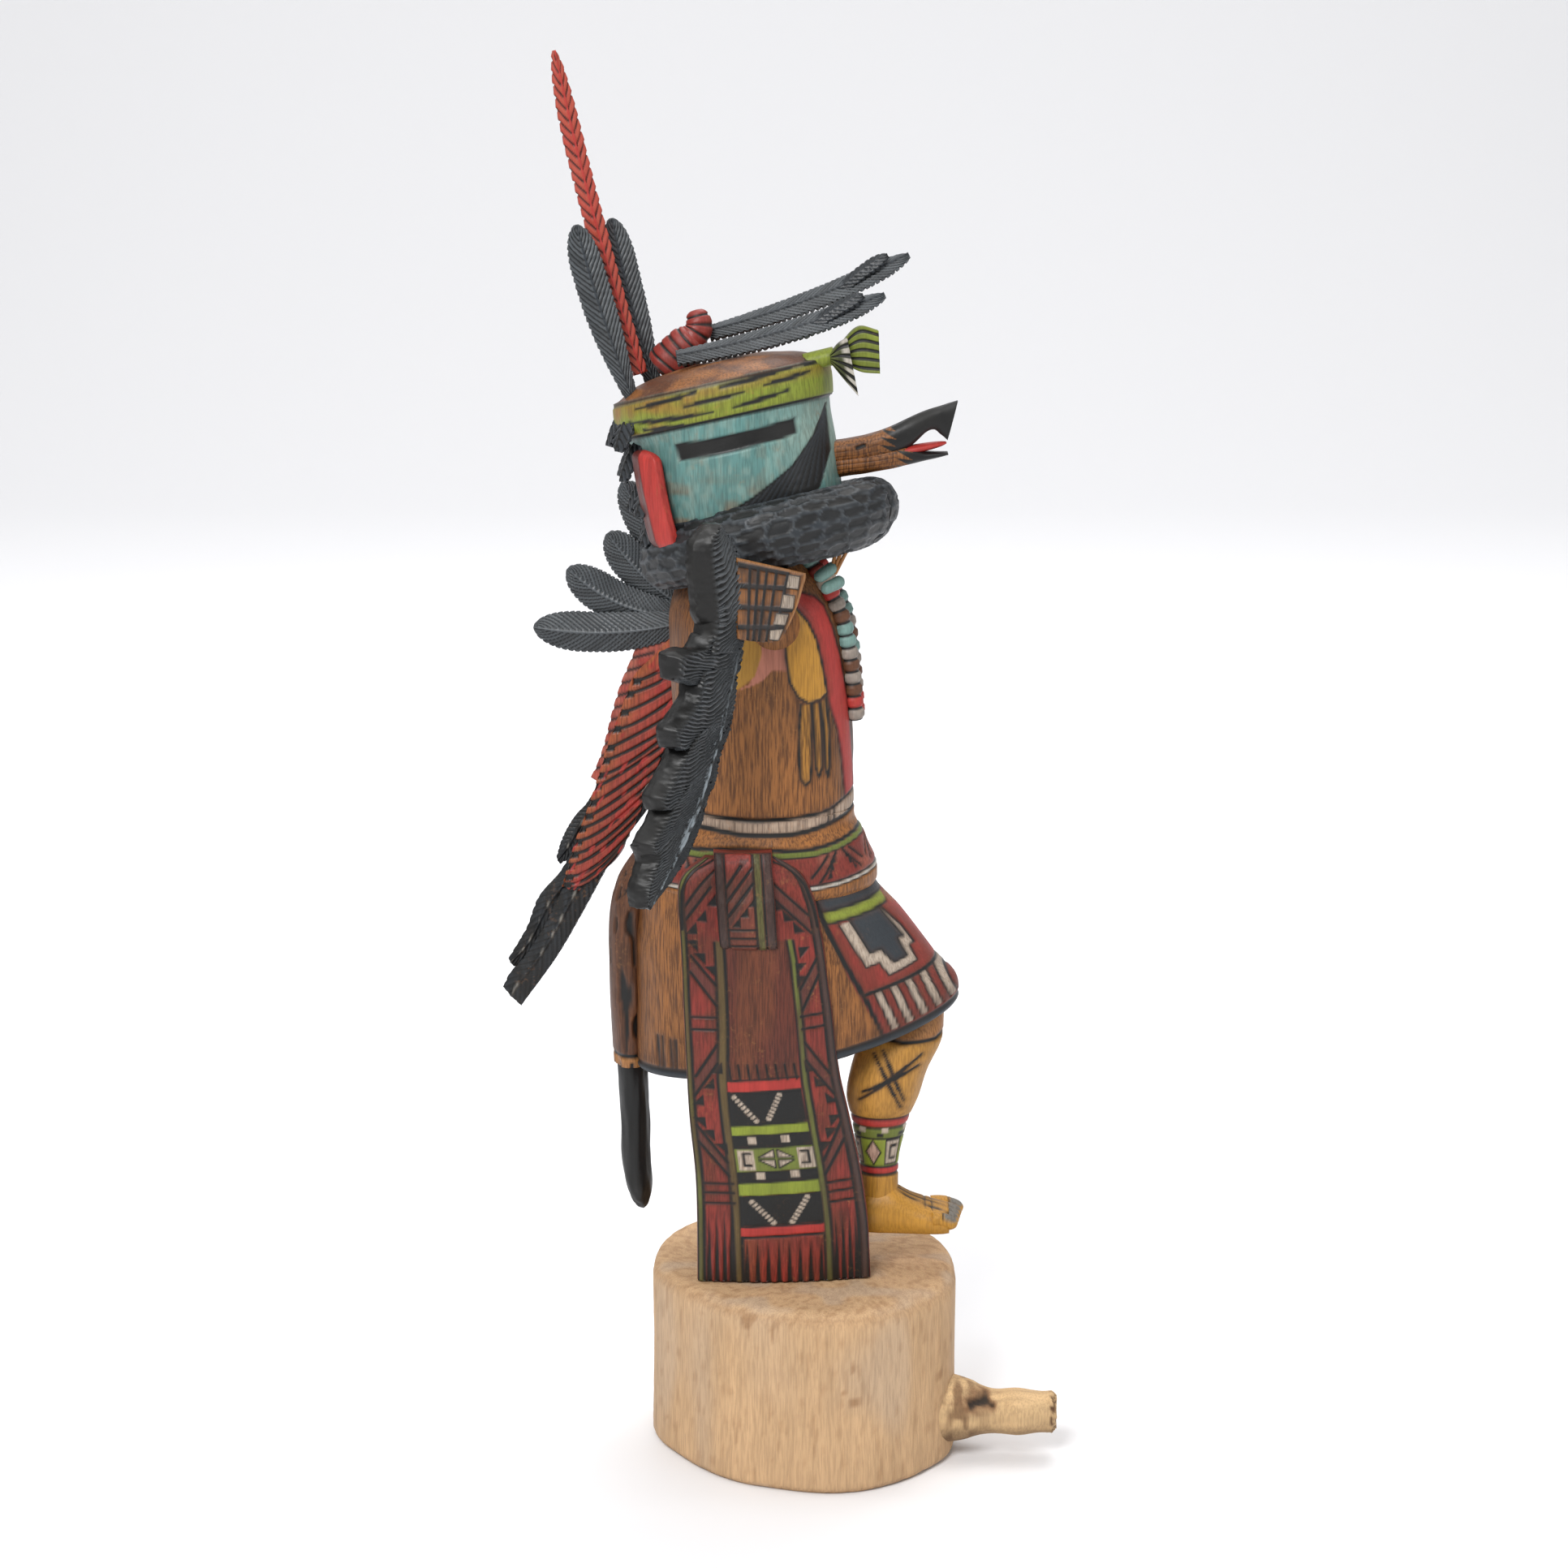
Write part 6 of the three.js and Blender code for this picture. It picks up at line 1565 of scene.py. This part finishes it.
def right_wing_place(out, up, face=0.0):
    out, up, face = (np.asarray(number, float)[..., None] for number in (out, up, face))
    return WING_ROOT + out * WING_OUT + up * np.array([0, 0, 1.0]) + face * WING_FACE


def right_wing_shells():
    paint, depth, seed = tools()
    shells = []

    def sheet_of(one_edge, other_edge, face, thickness, rows, across, colour):
        one, other = chain(one_edge, rows), chain(other_edge, rows)
        points, u = strip(right_wing_place(one[:, 0], one[:, 1], face),
                          right_wing_place(other[:, 0], other[:, 1], face), thickness, WING_FACE, across)
        return Shell(points, colour, grain=0.5), u, joined(
            mix(one[:, :1], other[:, :1], (u + 1) / 2), mix(one[:, 1:], other[:, 1:], (u + 1) / 2))

    panel, u, flat = sheet_of([(-8.3, 12.2), (18.2, 19.5)],
                              [(-8.5, 11.1), (-4.5, 4.2), (-1, 0), (2.2, -2.6), (15.5, -0.3), (18, 0.5)],
                              1.4, 3, 110, 84, paint["roll"])
    panel.shade(0.2 * noise(panel.points, (2, 2, 5), seed + 71))
    bars = [((18, 18), (-1, 13.3)), ((18, 13), (-0.3, 9.7)), ((18, 8), (-3, 4.1)), ((18, 3.2), (0.5, 0.3)),
            ((-1.6, 13.2), (3.9, -2.3)), ((2.9, 14.1), (7, -1.8)), ((6.7, 15), (9.9, -1.4)), ((10, 16), (12, -1)),
            ((13.2, 16.5), (14.2, -0.5))]
    for a, b in bars:
        panel.score(flat, [a, b], 1.25, paint["black"], 0.25)
    panel.lay(0.65 * step(-0.3, 0.4, noise(panel.points, (1.3, 1.3, 4), seed + 72)), paint["black"])
    for square in ([(-2, 12.6), (-6.1, 11.6), (-5.5, 8.8), (-1, 9.8)],
                   [(0.2, 8.2), (-4.1, 7.2), (-3.6, 4.3), (1.2, 5.3)],
                   [(2.9, 4), (-1.6, 3.1), (-0.3, 0.9), (4.1, 1.8)],
                   [(5.4, 0.4), (0.5, -0.1), (2.2, -2.4), (5.7, -1.6)]):
        panel.lay(stroke(flat, square + square[:1], 0.6), paint["black"], cut=0.2)
        panel.lay(inside(flat, square), paint["white"], grain=0.7)
    panel.lay(stroke(flat, [(18.2, 19.3), (-8.1, 12.2), (-4.5, 4.3), (-1, 0.1)], 0.9), paint["bare_wood"], cut=-0.1)
    shells.append(panel)

    def slab(left_edge, right_edge, face, seed_shift, grooves=19, crest=-0.8):
        """A thick blunt feather of the folded wing: a dark side to the left and a grooved one to the right."""
        rows = 5 * grooves
        left, right = chain(left_edge, rows), chain(right_edge, rows)
        u, side = loop_section(46, 3)
        share = (u + 1) / 2
        out = mix(left[:, :1], right[:, :1], share)
        up = mix(left[:, 1:], right[:, 1:], share)
        height = np.where(u < crest, mix(0.1, 1.0, (u + 1) / (crest + 1)), mix(1.0, 0.45, (u - crest) / (1 - crest)))
        along = np.linspace(0, 1, rows)[:, None]
        blunt = np.sqrt(np.clip(1 - ((along - 0.93) / 0.07).clip(0)**2, 0.05, 1))
        thick = np.where(side > 0, 4.4 * height * blunt, -1.6) * np.abs(side)
        place = right_wing_place(out, up, face + thick)
        made = Shell(place, paint["black"], grain=0.05)
        # painted highlight: the grooved right facet is painted feather grey while the left facet stays black
        lit = step(crest - 0.08, crest + 0.1, u) * (side > 0)
        rough = noise(made.points, (3, 3, 3), seed + seed_shift)
        sweep = along * grooves + 2.4 * ((u - crest)**2)[None, :] + 0.5 * rough
        groove = comb(sweep, 0.2, 0.16)
        made.lay((0.75 + 0.25 * rough) * lit * (1 - groove), paint["vane"])
        made.lay(groove * lit, paint["black"])
        made.cut += 1.2 * depth["barb_depth"] * groove * lit
        made.chip(0.25, (2.2, 2.2, 1.6), seed + seed_shift + 2)
        made.chip(0.12, 0.9, seed + seed_shift + 3)
        shells.append(made)

    slab([(49, -44), (47, -48), (48.8, -51.1), (50.2, -54.3), (49.5, -58.6)],
         [(23, -34), (26.4, -42.4), (31.7, -49.4), (38.6, -55), (46.5, -59.6)], -3.4, 80)
    slab([(37, -32), (42.5, -36), (43.9, -37.9), (46.7, -40.9), (49.1, -43.4), (48, -46.3)],
         [(20.5, -28), (21.8, -32.5), (25.3, -37.2), (30.2, -41.5), (37.2, -44.7), (42, -47)], -2.6, 84)
    slab([(33, -20), (37.9, -24), (40, -26.3), (43.5, -30), (46.5, -32.9), (45.2, -36)],
         [(16.6, -17), (17.1, -20.8), (20.6, -26.4), (23.5, -32.1), (28.1, -35.5), (36.7, -38)], -1.9, 88)
    slab([(32, -5), (34, -11.5), (37.5, -14.4), (41.6, -18), (40.6, -22)],
         [(14.6, -7), (15.2, -9.5), (16.3, -15.5), (17.4, -19.7), (22, -23), (32, -24.8)], -1.3, 92)
    slab([(29, 3), (32, 0.2), (36.3, 0.8), (41, -0.3), (40.8, -5.6)],
         [(13.2, 3), (13.6, -1), (14.5, -6.8), (19, -9.6), (32, -8.8)], -0.8, 96, grooves=12)
    slab([(29, 10), (28.6, 5.1), (29.1, 1.7), (29.7, -1.6)],
         [(13, 9), (13.2, 5.4), (13.6, 1), (16.5, -3.6)], -0.2, 100, grooves=10)
    slab([(26.3, 28.4), (31.3, 25.4), (32.1, 18.7), (31.2, 11.7), (30.6, 8.1), (28.5, 4.9)],
         [(24.5, 28.4), (19.4, 24.2), (15.5, 18.5), (12.8, 14.2), (13, 7.2), (17, 3)], 0.2, 104, crest=-0.62)
    ridge = [(13.5, 14.5), (12.8, 8), (15.6, -0.6), (17.8, -8), (20.1, -15.4), (21.6, -20.2), (25.8, -28.9),
             (29.8, -37.7), (35.6, -46.1), (43.6, -54.6), (47.5, -59.0)]
    for k in range(5):
        t = np.linspace(0, 1, 200)
        line = chain(ridge, 200)
        wobble = 0.3 * noise(joined(t * 45, 0 * t + 9 * k, 0 * t), 1.0, seed + 110)
        route = right_wing_place(line[:, 0] + 0.95 * k * (1.1 - 0.5 * t) - 0.5 + wobble, line[:, 1] + 0.25 * k,
                                 1.3 - 0.3 * k - 2.6 * t)
        rope = Shell(rope_of(route, joined(0.52 + 0 * t, 0.9 + 0.4 * wobble), 8, up=WING_FACE),
                     paint["black"], grain=0.05)
        # painted highlight: pale grey glints along the strands, none near their upper end and weaker on each strand
        # further back
        rope_highlight = step(-0.4, 0.5, noise(rope.points, (0.5, 0.5, 2.4), seed + 112 + k)) * step(0.05, 0.5, t)[:, None]
        rope.lay((0.7 - 0.07 * k) * rope_highlight, linear("a3aeb5"))
        rope.chip(0.25, (0.7, 0.7, 2.2), seed + 114)
        shells.append(rope)
    shells.append(rod(WING_ROOT + [0, 4.4, 0], WING_ROOT + [-1.5, -1.6, 1], 2.6, 30, paint["body_brown"]))
    return shells


# Operators

class DANCER_OT_base(bpy.types.Operator):
    """Make the cottonwood base block with its root."""
    bl_idname = "dancer.base"
    bl_label = "Base block"

    def execute(self, context):
        finish = painted_wood("bare root wood", roughness=0.75, wear=0.1, grain=0.35, relief=0.5, dust=0.05)
        join("base_block_wood", base_shells(), ["base_block"], finish)
        return {"FINISHED"}


class DANCER_OT_body(bpy.types.Operator):
    """Make the torso, belt, kilt, legs, ropes and strap."""
    bl_idname = "dancer.body"
    bl_label = "Body"

    def execute(self, context):
        finish = painted_wood("painted figure")
        for name, shells in (("torso", torso_shell()), ("kilt_and_belt", [kilt_shell(), belt_shell()]),
                             ("necklace_and_strap", neck_shells()), ("legs", leg_shells())):
            join(name, shells, ["carved_figure"], finish)
        return {"FINISHED"}


class DANCER_OT_sash(bpy.types.Operator):
    """Make the sash with its over-loop, and the pelt behind."""
    bl_idname = "dancer.sash"
    bl_label = "Sash and pelt"

    def execute(self, context):
        finish = painted_wood("painted figure")
        join("sash", sash_shells(), ["carved_figure"], finish)
        join("fox_pelt", pelt_shells(), ["carved_figure"], finish)
        return {"FINISHED"}


class DANCER_OT_head(bpy.types.Operator):
    """Make the ruff, the mask and the crown's knot and nape feathers."""
    bl_idname = "dancer.head"
    bl_label = "Head"

    def execute(self, context):
        finish = painted_wood("painted figure")
        join("ruff", [ruff_shell()], ["carved_figure"], finish)
        join("mask", [mask_shell()], ["carved_figure"], finish)
        join("crown_and_nape", crown_shells(), ["carved_figure"], finish)
        return {"FINISHED"}


class DANCER_OT_face(bpy.types.Operator):
    """Make the beak, the two ears and the bow of the band."""
    bl_idname = "dancer.face"
    bl_label = "Beak, ears and bow"

    def execute(self, context):
        join("beak_wood", beak_shells(), ["beak"], painted_wood("painted beak", roughness=0.5))
        ear = painted_wood("red ear", wear=0.5)
        join("right_ear_wood", ear_shells(-1), ["right_ear"], ear)
        join("left_ear_wood", ear_shells(1), ["left_ear"], ear)
        join("band_bow_fans", bow_shells(), ["band_bow"], painted_wood("green band"))
        return {"FINISHED"}


class DANCER_OT_feathers(bpy.types.Operator):
    """Make the tall red feather, the two black uprights and the two plumes."""
    bl_idname = "dancer.feathers"
    bl_label = "Crown feathers"

    def execute(self, context):
        red = painted_wood("red feather", wear=0.4)
        black = painted_wood("black feather", roughness=0.4, wear=0.15)
        join("tall_red_vane", tall_feather_shells(), ["tall_red_feather"], red)
        join("front_black_vane", [upright_feather_shell(1, -42.6, -12.4)], ["front_black_feather"],
             black)
        join("rear_black_vane", [upright_feather_shell(13, -37, -10)], ["rear_black_feather"], black)
        join("upper_plume_vane", plume_shells((-24, 12, 280), 18.5, 2), ["upper_plume"], black)
        join("lower_plume_vane", plume_shells((-31.5, -1, 275.5), 14.4, 1), ["lower_plume"], black)
        return {"FINISHED"}


class DANCER_OT_wings(bpy.types.Operator):
    """Make the two wings with their feathers."""
    bl_idname = "dancer.wings"
    bl_label = "Wings"

    def execute(self, context):
        finish = painted_wood("painted wing", roughness=0.42, wear=0.25)
        join("left_wing_feathers", left_wing_shells(), ["left_wing"], finish)
        join("right_wing_feathers", right_wing_shells(), ["right_wing"], finish)
        return {"FINISHED"}


class DANCER_OT_stage(bpy.types.Operator):
    """Make the floor, the lights and the camera."""
    bl_idname = "dancer.stage"
    bl_label = "Stage"

    def execute(self, context):
        scene = context.scene
        studio = scene.dancer_studio
        t = np.linspace(0, 1, 60)
        profile = [(y, 0.0) for y in np.linspace(-3.0, 1.5, 30)]
        profile += [(1.5 + 1.2 * math.sin(a), 1.2 - 1.2 * math.cos(a)) for a in t * math.pi / 2]
        profile += [(2.7, 1.2 + h) for h in np.linspace(0.1, 3.0, 10)]
        points = [(x, y, z) for y, z in profile for x in (-4.0, 4.0)]
        faces = [(2 * k, 2 * k + 1, 2 * k + 3, 2 * k + 2) for k in range(len(profile) - 1)]
        mesh = bpy.data.meshes.new("floor")
        mesh.from_pydata(points, [], faces)
        mesh.shade_smooth()
        floor = bpy.data.objects.new("floor", mesh)
        scene.collection.objects.link(floor)
        mesh.materials.append(plain_finish("pale floor", tuple(studio.floor_colour), 0.9))

        def area(name, place, aim, size, power):
            light = bpy.data.lights.new(name, "AREA")
            light.energy = power
            light.size = size
            made = bpy.data.objects.new(name, light)
            made.location = place
            made.rotation_euler = (Vector(aim) - Vector(place)).to_track_quat("-Z", "Y").to_euler()
            scene.collection.objects.link(made)
            return made

        key = area("key light", (-0.45, -1.1, 1.15), (0, 0, 0.18), 0.55, studio.key_light)
        fill = area("fill light", (1.2, -0.7, 0.7), (0, 0, 0.17), 0.9, studio.fill_light)
        rim = area("top light", (0.15, 0.6, 1.4), (0, 0, 0.17), 0.8, studio.top_light)
        wall = area("backdrop light", (0, 0.5, 1.7), (0, 2.5, 0.7), 2.5, studio.backdrop_light)
        world = bpy.data.worlds.new("studio")
        world.use_nodes = True
        world.node_tree.nodes["Background"].inputs["Color"].default_value = (1.0, 1.0, 1.0, 1.0)
        world.node_tree.nodes["Background"].inputs["Strength"].default_value = studio.room_light
        scene.world = world
        scene.view_settings.view_transform = "Standard"
        camera = bpy.data.cameras.new("camera")
        camera.lens = studio.lens
        camera.sensor_width = 36.0
        camera.sensor_fit = "AUTO"
        camera.clip_start = 0.01
        eye = bpy.data.objects.new("camera", camera)
        eye.location = (studio.camera_side, -studio.camera_distance, studio.camera_height)
        eye.rotation_euler = (math.pi / 2 - studio.camera_pitch, 0.0, 0.0)
        scene.collection.objects.link(eye)
        scene.camera = eye
        return {"FINISHED"}


class DANCER_PT_parts(bpy.types.Panel):
    """The figure's parts, values and stage."""
    bl_idname = "DANCER_PT_parts"
    bl_label = "Carved Dancer"
    bl_space_type = "VIEW_3D"
    bl_region_type = "UI"
    bl_category = "Carved Dancer"

    def draw(self, context):
        layout = self.layout
        for made in OPERATORS:
            layout.operator(made.bl_idname)
        for owner in ("dancer_paint", "dancer_carving", "dancer_studio"):
            group = getattr(context.scene, owner)
            box = layout.box()
            for key in type(group).__annotations__:
                box.prop(group, key)


GROUPS = (DancerPaint, DancerCarving, DancerStudio)
OPERATORS = (DANCER_OT_base, DANCER_OT_body, DANCER_OT_sash, DANCER_OT_head, DANCER_OT_face, DANCER_OT_feathers,
             DANCER_OT_wings, DANCER_OT_stage)


def register():
    for made in GROUPS + OPERATORS + (DANCER_PT_parts,):
        bpy.utils.register_class(made)
    bpy.types.Scene.dancer_paint = PointerProperty(type=DancerPaint)
    bpy.types.Scene.dancer_carving = PointerProperty(type=DancerCarving)
    bpy.types.Scene.dancer_studio = PointerProperty(type=DancerStudio)


def unregister():
    for name in ("dancer_paint", "dancer_carving", "dancer_studio"):
        delattr(bpy.types.Scene, name)
    for made in reversed(GROUPS + OPERATORS + (DANCER_PT_parts,)):
        bpy.utils.unregister_class(made)


def main():
    register()
    bpy.ops.dancer.base()
    bpy.ops.dancer.body()
    bpy.ops.dancer.sash()
    bpy.ops.dancer.head()
    bpy.ops.dancer.face()
    bpy.ops.dancer.feathers()
    bpy.ops.dancer.wings()
    bpy.ops.dancer.stage()


if __name__ == "__main__":
    main()
